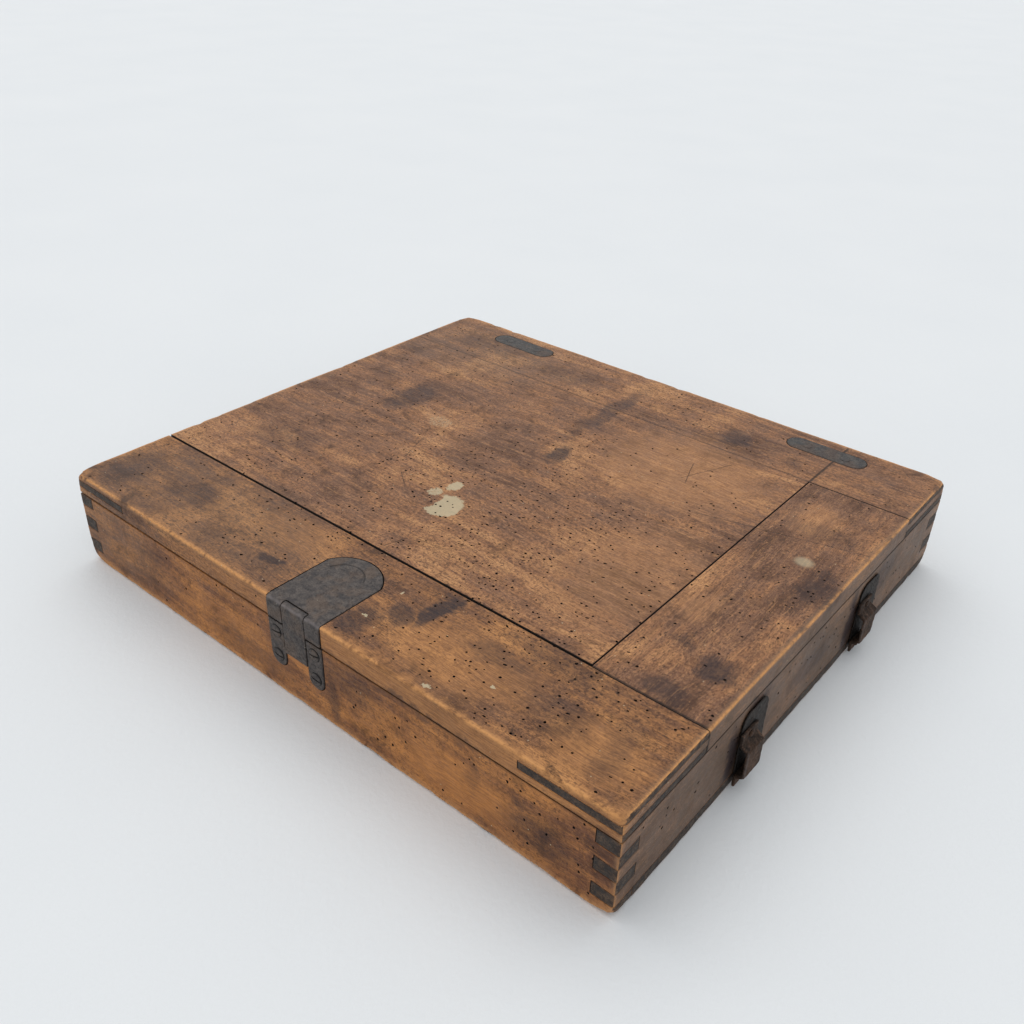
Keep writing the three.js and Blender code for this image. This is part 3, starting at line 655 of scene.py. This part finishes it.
def wood(name, grain, seed, warm=0.0, marked=True, smooth=0.0, tones=LID_TONES):
    """Old waxed timber: streaks and pores along the grain, stains, grime, worn arrises and painted shade at
    the seam and joints.
    """
    sheet = Shader(name)
    place = sheet.place()
    own = sheet.vector("ADD", place, (seed * 131.0, seed * 57.0, seed * 83.0))
    look = figure(sheet, own, grain)
    colour = timber_colour(sheet, look, warm, 1 - 0.4 * smooth, tones)
    rough = sheet.between(look["smoke"], 0.3, 0.75, 0.46, 0.64)
    open_pores = sheet.between(look["pores"], 0.58, 0.72, 0.5, 0.0)
    relief = sheet.math("ADD", sheet.math("MULTIPLY", look["streaks"], 0.5), open_pores)
    if marked:
        colour, rough, relief = with_marks(sheet, place, look, tones, colour, rough, relief)

    # Painted shade along the seam under the lid and in the lid's joints, and a darker band at the right
    # wall's foot.
    colour = sheet.mix(sheet.attribute("shade_and_dirt"), colour, HOLE_DARK)
    worn = sheet.math("MULTIPLY", sheet.attribute("worn"), sheet.between(look["smoke"], 0.64, 0.50))
    worn = sheet.math("MULTIPLY", worn, sheet.between(look["freckle"], 0.66, 0.46, 0.55, 1.0))
    colour = sheet.mix(worn, colour, WORN_ORANGE)
    colour = sheet.mix(sheet.specks(own, 7.0, 0.06, (0.52, 0.56)), colour, RESIDUE)
    sheet.surface.inputs["Specular IOR Level"].default_value = 0.2
    dents = sheet.bump(sheet.noise(sheet.lumps(own, 6.5), 3, 0.5)[0], 0.0005)
    return sheet.surfaced(colour, rough, sheet.bump(relief, 0.00012, dents))


def end_grain(name, grain, seed):
    """Open, dirty end grain: close-set pores across faint growth rings."""
    sheet = Shader(name)
    own = sheet.vector("ADD", sheet.place(), (seed * 71.0, seed * 37.0, seed * 19.0))
    rings = sheet.noise(sheet.drawn(own, grain, 40, 2.4), 3, 0.6, 0.8)[0]
    pores = sheet.cells(sheet.lumps(own, 0.85))["Distance"]
    smoke = sheet.noise(sheet.lumps(own, 5), 5, 0.7)[0]
    colour = sheet.mix(sheet.between(rings, 0.35, 0.7), srgb(24, 17, 13), srgb(76, 57, 41))
    colour = sheet.layered(colour, [
        (pores, (0.42, 0.20), (0.0, 0.85), HOLE_DARK),
        (smoke, (0.5, 0.7), (0.0, 0.7), GRIME),
    ])
    worn = sheet.math("MULTIPLY", sheet.attribute("worn"), sheet.between(smoke, 0.6, 0.45))
    colour = sheet.mix(sheet.math("MULTIPLY", worn, 0.3), colour, WORN_ORANGE)
    height = sheet.math("ADD", sheet.between(pores, 0.15, 0.4), sheet.math("MULTIPLY", rings, 0.6))
    return sheet.surfaced(colour, sheet.between(smoke, 0.3, 0.7, 0.6, 0.85), sheet.bump(height, 0.0003))


def hole_dark():
    """Painted shade: the near-black inside of a wormhole, a cut bed or a joint in the lid, with a faint
    mottle.
    """
    sheet = Shader("hole_dark")
    shade_mottle = sheet.noise(sheet.lumps(sheet.place(), 0.6), 3)[0]
    return sheet.surfaced(sheet.mix(shade_mottle, srgb(10, 7, 6), srgb(34, 22, 16)), 0.95, sheet.bump(shade_mottle, 0.0002))


HOLE = hole_dark()

# ---------- iron ----------

IRON_PIT = srgb(30, 26, 25)
# Painted shade for the engraved arc's groove and the screw slots.
IRON_PAINTED_SHADE = srgb(18, 16, 15)
IRON_BRIGHT = srgb(128, 120, 118)
DUST = srgb(150, 142, 128)


def iron(name, patina, light, rust, rust_amount, gloss):
    """Hand-forged iron: mottled dark patina, rubbed high spots, painted highlight and painted shade, and
    freckles of rust.
    """
    sheet = Shader(name)
    place = sheet.place()
    broad = sheet.noise(sheet.lumps(place, 15), 4, 0.6, 0.3)[0]
    mottle = sheet.noise(sheet.lumps(place, 4), 8, 0.75, 0.3)[0]
    scale = sheet.noise(sheet.lumps(place, 3.2), 5, 0.7)[0]
    pits = sheet.noise(sheet.lumps(place, 1.1), 4, 0.6)[0]
    colour = sheet.mix(sheet.between(mottle, 0.36, 0.66), patina, light)
    colour = sheet.layered(colour, [
        (broad, (0.46, 0.62), (0.0, 0.45), rust),
        (scale, (0.64 - rust_amount, 0.76 - rust_amount), (0.0, 1.0), rust),
        (pits, (0.55, 0.66), (0.0, 0.55), IRON_PIT),
    ])
    # Painted shade in the engraved arc's groove and in the screw slots.
    colour = sheet.mix(sheet.attribute("shade_and_dirt"), colour, IRON_PAINTED_SHADE)
    # Brighter where the hasp's bend is rubbed, and a painted highlight along the strap loops' edges.
    colour = sheet.mix(sheet.math("MULTIPLY", sheet.attribute("rubbed_and_highlight"), 0.75), colour, IRON_BRIGHT)
    colour = sheet.mix(sheet.specks(place, 5.0, 0.07, (0.6, 0.66)), colour, DUST)
    bare = sheet.between(scale, 0.75 - rust_amount, 0.55 - rust_amount, 0.1, 0.55)
    sheet.feed(sheet.surface.inputs["Metallic"], bare)
    rough = sheet.between(pits, 0.3, 0.7, gloss, gloss + 0.22)
    height = sheet.math("ADD", sheet.math("MULTIPLY", scale, 0.8), sheet.between(pits, 0.8, 0.6))
    return sheet.surfaced(colour, rough, sheet.bump(height, 0.00010))


DARK_IRON = iron("dark_iron", srgb(52, 48, 48), srgb(90, 82, 77), srgb(100, 81, 66), 0.0, 0.42)
COVER_IRON = iron("cover_iron", srgb(50, 50, 52), srgb(86, 80, 74), srgb(88, 64, 48), -0.02, 0.42)
LOOP_IRON = iron("loop_iron", srgb(22, 20, 20), srgb(52, 47, 43), srgb(50, 38, 31), 0.06, 0.60)
RUSTY_IRON = iron("rusty_iron", srgb(36, 28, 23), srgb(72, 54, 42), srgb(94, 67, 49), 0.08, 0.70)


# ---------- wooden pieces ----------

WORM = random.Random(1907)
WORM_REACH = 1.25
SEAM = (TRAY_TOP + LID_BOTTOM) / 2
SEAM_CLEAR = 2.2


def blob(x, y, radius, stretch=1.0, turn=0.0, sides=9):
    """A rough round outline, drawn out along a direction."""
    points = []
    for step in range(sides):
        angle = 2 * math.pi * step / sides
        reach = radius * WORM.uniform(0.85, 1.15)
        u, v = reach * stretch * math.cos(angle), reach * math.sin(angle)
        across = u * math.cos(turn) - v * math.sin(turn)
        up = u * math.sin(turn) + v * math.cos(turn)
        points.append((x + across, y + up))
    return points


def worm_places(count, low, high, density, apart):
    """Seeded places in a rectangle, thicker where the density is high, never touching."""
    places = []
    tries = 0
    while len(places) < count and tries < count * 60:
        tries += 1
        x, y = WORM.uniform(low[0], high[0]), WORM.uniform(low[1], high[1])
        if WORM.random() > density(x, y):
            continue
        if all((x - a) ** 2 + (y - b) ** 2 > apart ** 2 for a, b in places):
            places.append((x, y))
    return places


def lid_density(x, y):
    """How thick the wormholes lie on the lid: in clusters, most near the middle and the rail."""
    cluster = noise.noise(Vector((x / 28, y / 28, 3.3))) * 0.9 + 0.55
    heart = math.exp(-(((x - 235) / 130) ** 2) - ((y - 135) / 105) ** 2)
    rail = 0.7 * (y < RAIL_DEPTH) * math.exp(-(((x - 330) / 120) ** 2))
    under_hasp = abs(x - HASP_MIDDLE) < 25 and y < 62
    return 0.0 if under_hasp else cluster * (0.16 + max(heart, rail))


def wall_density(x, z):
    """How thick the wormholes lie on the front wall: in clusters, most towards the right."""
    cluster = noise.noise(Vector((x / 24, z / 14, 8.1))) * 0.9 + 0.5
    return cluster * (0.08 + 0.92 * (x / WIDTH) ** 3)


def lid_worms():
    """Flight holes and a few short open galleries in the lid's top: ((x, y), solid)."""
    solids = []
    for x, y in worm_places(1000, (4, 3), (427, 372), lid_density, 2.4):
        long = WORM.random() < 0.10
        stretch = WORM.uniform(1.8, 3.2) if long else WORM.uniform(1.0, 1.25)
        radius = WORM.uniform(0.42, 0.80) * (0.8 if long else 1)
        stretch = min(stretch, WORM_REACH / radius)
        outline = blob(x, y, radius, stretch, WORM.uniform(-0.6, 0.6))
        solids.append(((x, y), prism(outline, HEIGHT - WORM.uniform(1.6, 3.0), HEIGHT + 0.6)))
    return solids


def front_worms():
    """Flight holes in the front wall and the lid's front edge: ((x, z), solid)."""
    solids = []
    for x, z in worm_places(64, (60, 5), (418, 64), wall_density, 2.6):
        near_hasp = abs(x - HASP_MIDDLE) < 26
        if near_hasp or abs(z - SEAM) < SEAM_CLEAR:
            continue
        outline = blob(z, x, WORM.uniform(0.45, 0.85), WORM.uniform(1, 1.4), WORM.uniform(-0.5, 0.5))
        solids.append(((x, z), prism(outline, -0.8, WORM.uniform(1.6, 2.6), axis=1)))
    return solids


def right_worms():
    """Flight holes in the right wall: ((y, z), solid)."""
    solids = []
    for y, z in worm_places(80, (10, 12), (370, 64), lambda y, z: 0.9, 2.6):
        if abs(z - SEAM) < SEAM_CLEAR:
            continue
        outline = blob(y, z, WORM.uniform(0.45, 0.8), WORM.uniform(1, 1.4), WORM.uniform(-0.5, 0.5))
        solids.append(((y, z), prism(outline, WIDTH - WORM.uniform(1.6, 2.6), WIDTH + 0.8, axis=0)))
    return solids


LID_WORMS = lid_worms()
FRONT_WORMS = front_worms()
RIGHT_WORMS = right_worms()


def hasp_outline(grow):
    """The hasp plate seen from above, grown on every side."""
    half = (HASP_HIGH[0] - HASP_LOW[0]) / 2 + grow
    radius = HASP_NOSE_RADIUS + grow
    middle = HASP_HIGH[1] - HASP_NOSE_RADIUS
    spread = math.asin(half / radius)
    nose = []
    for step in range(25):
        angle = math.pi / 2 - spread + 2 * spread * step / 24
        nose.append((HASP_MIDDLE + radius * math.cos(angle), middle + radius * math.sin(angle)))
    return [(HASP_MIDDLE - half, 3), (HASP_MIDDLE + half, 3), *nose]


def stadium(low, high, grow, steps=12):
    """A round-ended bar seen from above, grown on every side."""
    radius = (high[1] - low[1]) / 2 + grow
    middle = (low[1] + high[1]) / 2
    ends = ((high[0] + grow - radius, -math.pi / 2), (low[0] - grow + radius, math.pi / 2))
    points = []
    for x, start in ends:
        for step in range(steps + 1):
            angle = start + math.pi * step / steps
            points.append((x + radius * math.cos(angle), middle + radius * math.sin(angle)))
    return points


def keeper_outline(low, high, grow, steps=12):
    """A keeper seen from the front as (z, x): square above and round below."""
    radius = (high[0] - low[0]) / 2 + grow
    middle = (low[0] + high[0]) / 2
    foot = low[2] - grow + radius
    points = [(high[2] + 0.4, middle - radius), (high[2] + 0.4, middle + radius)]
    for step in range(steps + 1):
        angle = math.pi / 2 + math.pi * step / steps
        points.append((foot + radius * math.cos(angle), middle + radius * math.sin(angle)))
    return points


BEVEL = {"width": 0.35, "segments": 2, "limit_method": "ANGLE", "angle_limit": math.radians(50)}


def wear_attribute(mesh):
    """Marks how rubbed each point is: most on the closed case's outer edges and corners. Also marks painted
    shade along the seam under the lid and in the lid's joints, and a darker band at the right wall's foot.
    """
    points = coordinates(mesh)
    corner = corner_distance(points)
    gaps = np.maximum(np.minimum(points, CASE - points), 0)
    upright = np.hypot(gaps[:, 0], gaps[:, 1])
    level = np.minimum(np.hypot(gaps[:, 0], gaps[:, 2]), np.hypot(gaps[:, 1], gaps[:, 2]))
    rubbed_and_highlight = np.where(CASE[0] - points[:, 0] < 4, 1.3, 1.8)
    worn = 1.2 * np.exp(-((level / rubbed_and_highlight) ** 2)) + 0.5 * np.exp(-((upright / 1.6) ** 2))
    worn += 0.5 * np.exp(-((corner / 10) ** 2))
    worn += 0.9 * np.exp(-((points[:, 2] / 3.5) ** 2)) * (points[:, 1] < 2)
    # Painted shade along the outer seam under the lid.
    seam = np.abs(points[:, 2] - SEAM)
    outer = np.minimum(points[:, :2], CASE[:2] - points[:, :2]).min(axis=1)
    shade_and_dirt = 0.9 * np.exp(-((seam / 0.7) ** 2)) * (outer < 6)
    # A darker band along the foot of the right wall.
    foot = np.exp(-((points[:, 2] / 5) ** 2)) * (CASE[0] - points[:, 0] < 3)
    shade_and_dirt = np.maximum(shade_and_dirt, 0.8 * foot)
    # Painted shade in the lid's joints.
    for axis, place, reach in joint_lines():
        gap = np.abs(points[:, axis] - place)
        shade_and_dirt = np.maximum(shade_and_dirt, 0.8 * (gap < reach) * (points[:, 2] > LID_BOTTOM))
    paint(mesh, "worn", worn)
    paint(mesh, "shade_and_dirt", shade_and_dirt)


def joint_lines():
    """The joints that show on the lid: axis, place and how far the painted shade reaches."""
    return [
        (1, (RAIL_DEPTH + BOARD_FRONT) / 2, 1.0),
        (0, STILE_LEFT - STILE_GAP / 2, 0.6),
        (1, STILE_BACK + FIT / 2, 0.5),
    ]


def in_joint(face):
    """True for a face that lies down inside one of the lid's joints."""
    return any(
        abs(face.normal[axis]) > 0.75 and abs(face.center[axis] - place) < reach
        for axis, place, reach in joint_lines()
    )


def board(node, body, slot, grain, seed, adds=None, cuts=(), beds=(), worms=(), **look):
    """A wooden piece: its boxes on a fine grid, worn, then cut for ironwork and by worms."""
    low, high = span(node)
    points, quads = grid_solid(adds or [(low, high)], list(cuts))
    points = sag_front_edge(points)
    points = wear_away(swell(points))
    mesh = mesh_from(node, points, quads)
    add_slots(mesh)
    mesh = with_modifiers(mesh, [("BEVEL", BEVEL)])
    mesh = carved(mesh, list(beds), HOLE_SLOT)
    mesh = carved(mesh, list(worms), HOLE_SLOT)
    # Faces cut by beds and worms, and faces down inside the lid's joints, take the near-black hole material
    # as painted shade.
    for face in mesh.polygons:
        if face.material_index == HOLE_SLOT or (body == "lid" and in_joint(face)):
            face.material_index = HOLE_SLOT
        else:
            face.material_index = END_SLOT if abs(face.normal[grain]) > 0.75 else GRAIN_SLOT
    wear_attribute(mesh)
    materials = [wood(f"{node}_wood", grain, seed, **look), end_grain(f"{node}_end", grain, seed), HOLE]
    return finished(f"{node}_board", mesh, materials, body, node)


def within(worms, low, high, margin=1.5):
    """The worm solids whose middles lie between two corners, or just outside them."""
    return [solid for (u, v), solid in worms
            if low[0] - margin < u < high[0] + margin and low[1] - margin < v < high[1] + margin]


def box(x, y, z):
    return np.array([x[0], y[0], z[0]], float), np.array([x[1], y[1], z[1]], float)


PAST = 1
EDGE_BED = 1.5
ROLL_BED_BACK, ROLL_BED_LOW = 5.2, 61.2
LEAF_BED = 2.1
COVER_BED = 1.9


def finger_cuts(levels, x, y):
    """Notches between two x and two y values, one at each of the given levels."""
    cuts = []
    for level in levels:
        top = TRAY_TOP + PAST if level == FINGERS - 1 else (level + 1) * FINGER + FIT / 2
        cuts.append(box(x, y, (level * FINGER - FIT / 2, top)))
    return cuts


def end_wall(node, seed, cuts=(), beds=(), worms=(), **look):
    """A front or rear wall, notched at both ends for the side walls' fingers."""
    low, high = span(node)
    y = (low[1] - PAST, high[1] + PAST)
    reach = SIDE_WALL + FIT
    odd = range(1, FINGERS, 2)
    notches = finger_cuts(odd, (-PAST, reach), y) + finger_cuts(odd, (WIDTH - reach, WIDTH + PAST), y)
    board(node, "tray", "tray_wood", 0, seed, cuts=[*notches, *cuts], beds=beds, worms=worms, **look)


def side_wall(node, seed, worms=(), **look):
    """A left or right wall, notched at both ends for the end walls' fingers."""
    low, high = span(node)
    x = (low[0] - PAST, high[0] + PAST)
    reach = END_WALL + FIT
    even = range(2, FINGERS, 2)
    notches = finger_cuts(even, x, (-PAST, reach)) + finger_cuts(even, x, (DEPTH - reach, DEPTH + PAST))
    board(node, "tray", "tray_wood", 1, seed, cuts=notches, worms=worms, **look)


def leaf_bed(node, below, above):
    """Room for a hinge leaf, open at the back."""
    low, high = span(node)
    return box((low[0] - FIT, high[0] + FIT), (low[1] - FIT, DEPTH + PAST), (below, above))


def front_beds():
    """What is let into the front wall: the two keepers' beds."""
    beds = []
    for node in ("keeper_left", "keeper_right"):
        low, high = span(node)
        beds.append(prism(keeper_outline(low, high, 2 * FIT), -2, high[1] + FIT, axis=1))
    return beds


def add_tray():
    """The four walls and the bottom boards."""
    strap_sides = (STRAP_LOW[0] - 2 * FIT, STRAP_HIGH[0] + 2 * FIT)
    strap_bed = box(strap_sides, (-PAST, EDGE_BED), (STRAP_LOW[2] - 0.8, TRAY_TOP + PAST))
    worms = within(FRONT_WORMS, (0, 0), (WIDTH, TRAY_TOP - 2))
    end_wall("front_wall", 1, [strap_bed], front_beds(), worms, warm=0.03, smooth=0.6, tones=WALL_TONES)
    leaf_heights = (TRAY_TOP - LEAF_BED, TRAY_TOP + PAST)
    leaf_cuts = [leaf_bed(f"hinge_{side}_wall_leaf", *leaf_heights) for side in ("left", "right")]
    end_wall("rear_wall", 2, leaf_cuts, warm=-0.03)
    side_wall("left_wall", 3, warm=-0.04)
    side_wall("right_wall", 4, within(RIGHT_WORMS, (0, 0), (DEPTH, TRAY_TOP - 2)), warm=-0.07)
    for number in (1, 2, 3):
        board(f"bottom_board_{number}", "tray", "tray_wood", 0, 4 + number, warm=-0.06, marked=False)


def tongue_slots():
    """The two slots that run through the rail and the board for the cross pieces' tongues."""
    y = (-PAST, DEPTH + PAST)
    z = (TONGUE_LOW - FIT, TONGUE_HIGH + FIT)
    return [box((RIGHT_TONGUE_LEFT - FIT, WIDTH + PAST), y, z), box((-PAST, LEFT_TONGUE_RIGHT + FIT), y, z)]


def add_rail():
    """The lid's front rail, cut away over its edge for the hasp."""
    low, high = span("lid_front_rail")
    hasp_sides = (HASP_LOW[0] - FIT, HASP_HIGH[0] + FIT)
    edge_bed = box(hasp_sides, (-PAST, EDGE_BED), (LID_BOTTOM - PAST, HEIGHT + PAST))
    roll_bed = box(hasp_sides, (-PAST, ROLL_BED_BACK), (ROLL_BED_LOW, HEIGHT + PAST))
    # The bed is wider than the plate, so a ring of the near-black hole material shows round it as painted
    # shade.
    plate_bed = prism(hasp_outline(0.7), HEIGHT - HASP_THICK, HEIGHT + 2)
    worms = within(LID_WORMS, low, high) + within(FRONT_WORMS, (0, LID_BOTTOM + 2), (WIDTH, HEIGHT))
    board("lid_front_rail", "lid", "lid_wood", 0, 11, cuts=[*tongue_slots(), edge_bed, roll_bed],
          beds=[plate_bed], worms=worms, warm=0.02, tones=RAIL_TONES)


def add_main_board():
    """The lid's main board, cut for the stile, the hinge leaves and their covers."""
    low, high = span("lid_main_board")
    stile_room = box((STILE_LEFT - STILE_GAP, WIDTH + PAST), (0, STILE_BACK + FIT), (0, HEIGHT + PAST))
    leaf_heights = (LID_BOTTOM - PAST, LID_BOTTOM + LEAF_BED)
    leaf_cuts = [leaf_bed(f"hinge_{side}_lid_leaf", *leaf_heights) for side in ("left", "right")]
    covers = [span(f"hinge_{side}_cover") for side in ("left", "right")]
    cover_beds = [prism(stadium(a, b, 0.4), HEIGHT - COVER_BED, HEIGHT + 2) for a, b in covers]
    board("lid_main_board", "lid", "lid_wood", 0, 12, cuts=[stile_room, *tongue_slots(), *leaf_cuts],
          beds=cover_beds, worms=within(LID_WORMS, low, high, 0))


def add_lid():
    """The rail, the main board, the stile with its tongue and the left batten."""
    add_rail()
    add_main_board()
    body = box((STILE_LEFT, WIDTH), (RAIL_DEPTH + FIT, STILE_BACK), (LID_BOTTOM, HEIGHT))
    tongue = box((RIGHT_TONGUE_LEFT, WIDTH), (0, DEPTH), (TONGUE_LOW, TONGUE_HIGH))
    worms = within(LID_WORMS, body[0], body[1], -0.5)
    board("lid_right_stile", "lid", "lid_wood", 1, 13, adds=[body, tongue], worms=worms, warm=-0.02)
    board("lid_left_batten", "lid", "lid_wood", 1, 14, warm=-0.02)


# ---------- iron pieces ----------


def cad_mesh(node):
    """A copy of a CAD node's mesh in millimetres from the case's corner."""
    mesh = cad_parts[node].data.copy()
    place_points(mesh, (coordinates(mesh) - CORNER) / MM)
    weld = bmesh.new()
    weld.from_mesh(mesh)
    bmesh.ops.remove_doubles(weld, verts=weld.verts, dist=0.002)
    weld.to_mesh(mesh)
    weld.free()
    return mesh


def forged(node, body, material, voxel=0.4, rounds=3, pits=0.07, shape=None, extra=()):
    """A hammered and worn copy of a CAD node: remeshed finely, its edges eased, its faces pitted."""
    mesh = cad_mesh(node)
    for points, faces in extra:
        merge = bmesh.new()
        merge.from_mesh(mesh)
        merge.from_mesh(mesh_from("extra", points, faces))
        merge.to_mesh(mesh)
        merge.free()
    mesh = with_modifiers(mesh, [
        ("REMESH", {"mode": "VOXEL", "voxel_size": voxel}),
        ("SMOOTH", {"factor": 0.5, "iterations": rounds}),
    ])
    points = coordinates(mesh)
    normals = np.empty(len(points) * 3, np.float32)
    mesh.vertices.foreach_get("normal", normals)
    normals = normals.reshape(-1, 3)
    lift = pits * (wander(points, 2.6, 6) + 0.7 * wander(points, 1.1, 7)) - pits * 0.6
    shade_and_dirt = np.zeros(len(points))
    rubbed_and_highlight = np.zeros(len(points))
    if shape:
        lift, shade_and_dirt, rubbed_and_highlight = shape(points, normals, lift)
    place_points(mesh, points + normals * lift[:, None])
    paint(mesh, "shade_and_dirt", shade_and_dirt)
    paint(mesh, "rubbed_and_highlight", rubbed_and_highlight)
    return finished(f"{node}_forged", mesh, [material], body, node, sharp=180)


ARC_MIDDLE = (214, 36)
ARC_RADIUS = 13.5
ARC_TURNS = (25, 165)


def rubbed_bend(points):
    """1 along the bend over the lid's front edge, where the iron is rubbed bright."""
    bend = np.exp(-(((points[:, 2] - HEIGHT + 0.6) / 0.9) ** 2) - ((points[:, 1] + 0.2) / 1.2) ** 2)
    return bend * (0.65 + 0.35 * wander(points, 4, 8))


# Each detail function takes the points, normals and lift, and gives the lift, the painted shade, and the
# rubbing and painted highlight.


def hasp_detail(points, normals, lift):
    """The engraved arc near the nose, its groove painted with shade, and the bend rubbed bright along the
    front edge.
    """
    x, y = points[:, 0] - ARC_MIDDLE[0], points[:, 1] - ARC_MIDDLE[1]
    turn = np.degrees(np.arctan2(y, x))
    off = np.abs(np.hypot(x, y) - ARC_RADIUS)
    inside = (turn > ARC_TURNS[0]) & (turn < ARC_TURNS[1]) & (normals[:, 2] > 0.5)
    groove = np.exp(-((off / 0.36) ** 2)) * inside
    return lift - 0.35 * groove, groove * 0.9, rubbed_bend(points)


def strap_detail(points, normals, lift):
    """A beaten foot, and the bend rubbed bright."""
    foot = points[:, 2] < STRAP_LOW[2] + 3
    lift = lift + foot * 0.15 * wander(points, 4, 9)
    return lift, np.zeros(len(points)), rubbed_bend(points)


def screw_detail(points, normals, lift):
    """Painted shade in the slot of a screw that looks to the front."""
    sunk = np.clip((points[:, 1] - points[:, 1].min() - 0.45) / 0.3, 0, 1)
    head = points[:, 1] < points[:, 1].min() + 2
    return lift, sunk * head, np.zeros(len(points))


def bridge_highlight(points, normals, lift):
    """Painted highlight: a bright thin line along the loop's long outer edges."""
    out = points[:, 0]
    high = np.clip((out - out.max() + 1.2) / 1.2, 0, 1)
    low_y, high_y = points[:, 1].min(), points[:, 1].max()
    edge = np.minimum(points[:, 1] - low_y, high_y - points[:, 1])
    rubbed_and_highlight = high * np.exp(-((edge / 0.8) ** 2)) * 0.55
    return lift, np.zeros(len(points)), rubbed_and_highlight


def add_iron():
    """The hasp, its keepers and screws, the hinge covers and the strap loops with their nails."""
    rivets = [prism(blob(HASP_MIDDLE, y, 2.7, sides=16), HEIGHT - 1.6, HASP_HIGH[2]) for y in HASP_RIVETS]
    forged("hasp_plate", "lid", DARK_IRON, 0.36, 2, 0.05, hasp_detail, rivets)
    forged("hasp_strap", "strap", DARK_IRON, 0.36, 2, 0.05, strap_detail)
    for side in ("left", "right"):
        forged(f"keeper_{side}", "tray", DARK_IRON, 0.3, 2, 0.05)
        for level in ("upper", "lower"):
            screw = f"keeper_{side}_screw_{level}"
            forged(screw, "tray", DARK_IRON, 0.16, 1, 0.02, screw_detail)
        forged(f"hinge_{side}_cover", "lid", COVER_IRON, 0.4, 3, 0.06)
    for place in ("front", "rear"):
        forged(f"loop_{place}_plate", "tray", LOOP_IRON, 0.45, 4, 0.12)
        forged(f"loop_{place}_bridge", "tray", RUSTY_IRON, 0.4, 6, 0.10, bridge_highlight)
        for spot in ("top", "bottom", "tail"):
            forged(f"loop_{place}_nail_{spot}", "tray", RUSTY_IRON, 0.25, 2, 0.1)


def dress_cad_nodes():
    """Gives every CAD node that stays in view its own material."""
    lining = wood("lining_wood", 0, 21, warm=0.06, marked=False)
    for name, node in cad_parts.items():
        material = lining if name == "sheet_divider" else COVER_IRON
        node.data.materials.clear()
        node.data.materials.append(material)


# ---------- stage ----------

CAMERA_FROM_CORNER = (0.5684, -0.2533, 0.3987)
CAMERA_FORWARD = (-0.53018, 0.65732, -0.53558)
CAMERA_RIGHT = (0.76703, 0.64103, 0.02744)
LENS = 35.09
SENSOR = 36
FLOOR = 12
SKY_COLOUR = (0.955, 0.975, 1.0, 1)
SKY_STRENGTH = 0.92
LAMP_COLOUR = (1.0, 0.98, 0.94)


def add_camera():
    """The camera, placed in metres from the case's corner."""
    forward = Vector(CAMERA_FORWARD).normalized()
    right = Vector(CAMERA_RIGHT).normalized()
    up = right.cross(forward)
    turned = Matrix((right, up, -forward)).transposed().to_4x4()
    camera = bpy.data.objects.new("camera", bpy.data.cameras.new("camera"))
    camera.data.lens = LENS
    camera.data.sensor_width = SENSOR
    camera.matrix_world = Matrix.Translation(Vector(CORNER) + Vector(CAMERA_FROM_CORNER)) @ turned
    bpy.context.scene.collection.objects.link(camera)
    bpy.context.scene.camera = camera


def add_sun(name, place, spread, power, colour):
    """A soft distant lamp shining from a place towards the case."""
    lamp = bpy.data.lights.new(name, "SUN")
    lamp.angle = math.radians(spread)
    lamp.energy = power
    lamp.color = colour
    holder = bpy.data.objects.new(name, lamp)
    holder.rotation_euler = (-Vector(place)).to_track_quat("-Z", "Y").to_euler()
    bpy.context.scene.collection.objects.link(holder)


def floor_material():
    """Pale painted board with a faint orange-peel texture."""
    sheet = Shader("pale_floor")
    where = sheet.vector("SCALE", sheet.place(), scale=1 / 3.5)
    peel = sheet.noise(where, 4, 0.55)[0]
    broad = sheet.noise(sheet.vector("SCALE", where, scale=0.02), 3)[0]
    sheet.feed(sheet.surface.inputs["Base Color"], sheet.mix(broad, srgb(219, 222, 224), srgb(225, 227, 228)))
    sheet.surface.inputs["Roughness"].default_value = 0.6
    sheet.feed(sheet.surface.inputs["Normal"], sheet.bump(peel, 0.00025))
    return sheet.material


def add_stage():
    """A wide pale floor, an even studio sky and one very soft lamp."""
    corners = [(-FLOOR, -FLOOR, 0), (FLOOR, -FLOOR, 0), (FLOOR, FLOOR, 0), (-FLOOR, FLOOR, 0)]
    mesh = mesh_from("floor", corners, [(0, 1, 2, 3)])
    mesh.materials.append(floor_material())
    floor = bpy.data.objects.new("floor", mesh)
    bpy.context.scene.collection.objects.link(floor)

    world = bpy.data.worlds.new("studio")
    world.use_nodes = True
    background = world.node_tree.nodes["Background"]
    background.inputs["Color"].default_value = SKY_COLOUR
    background.inputs["Strength"].default_value = SKY_STRENGTH
    bpy.context.scene.world = world
    add_sun("window", (-0.8, 0.5, 2.2), 60, 0.62, LAMP_COLOUR)
    bpy.context.scene.view_settings.view_transform = "Standard"


add_camera()
dress_cad_nodes()
add_tray()
add_lid()
add_iron()
add_stage()
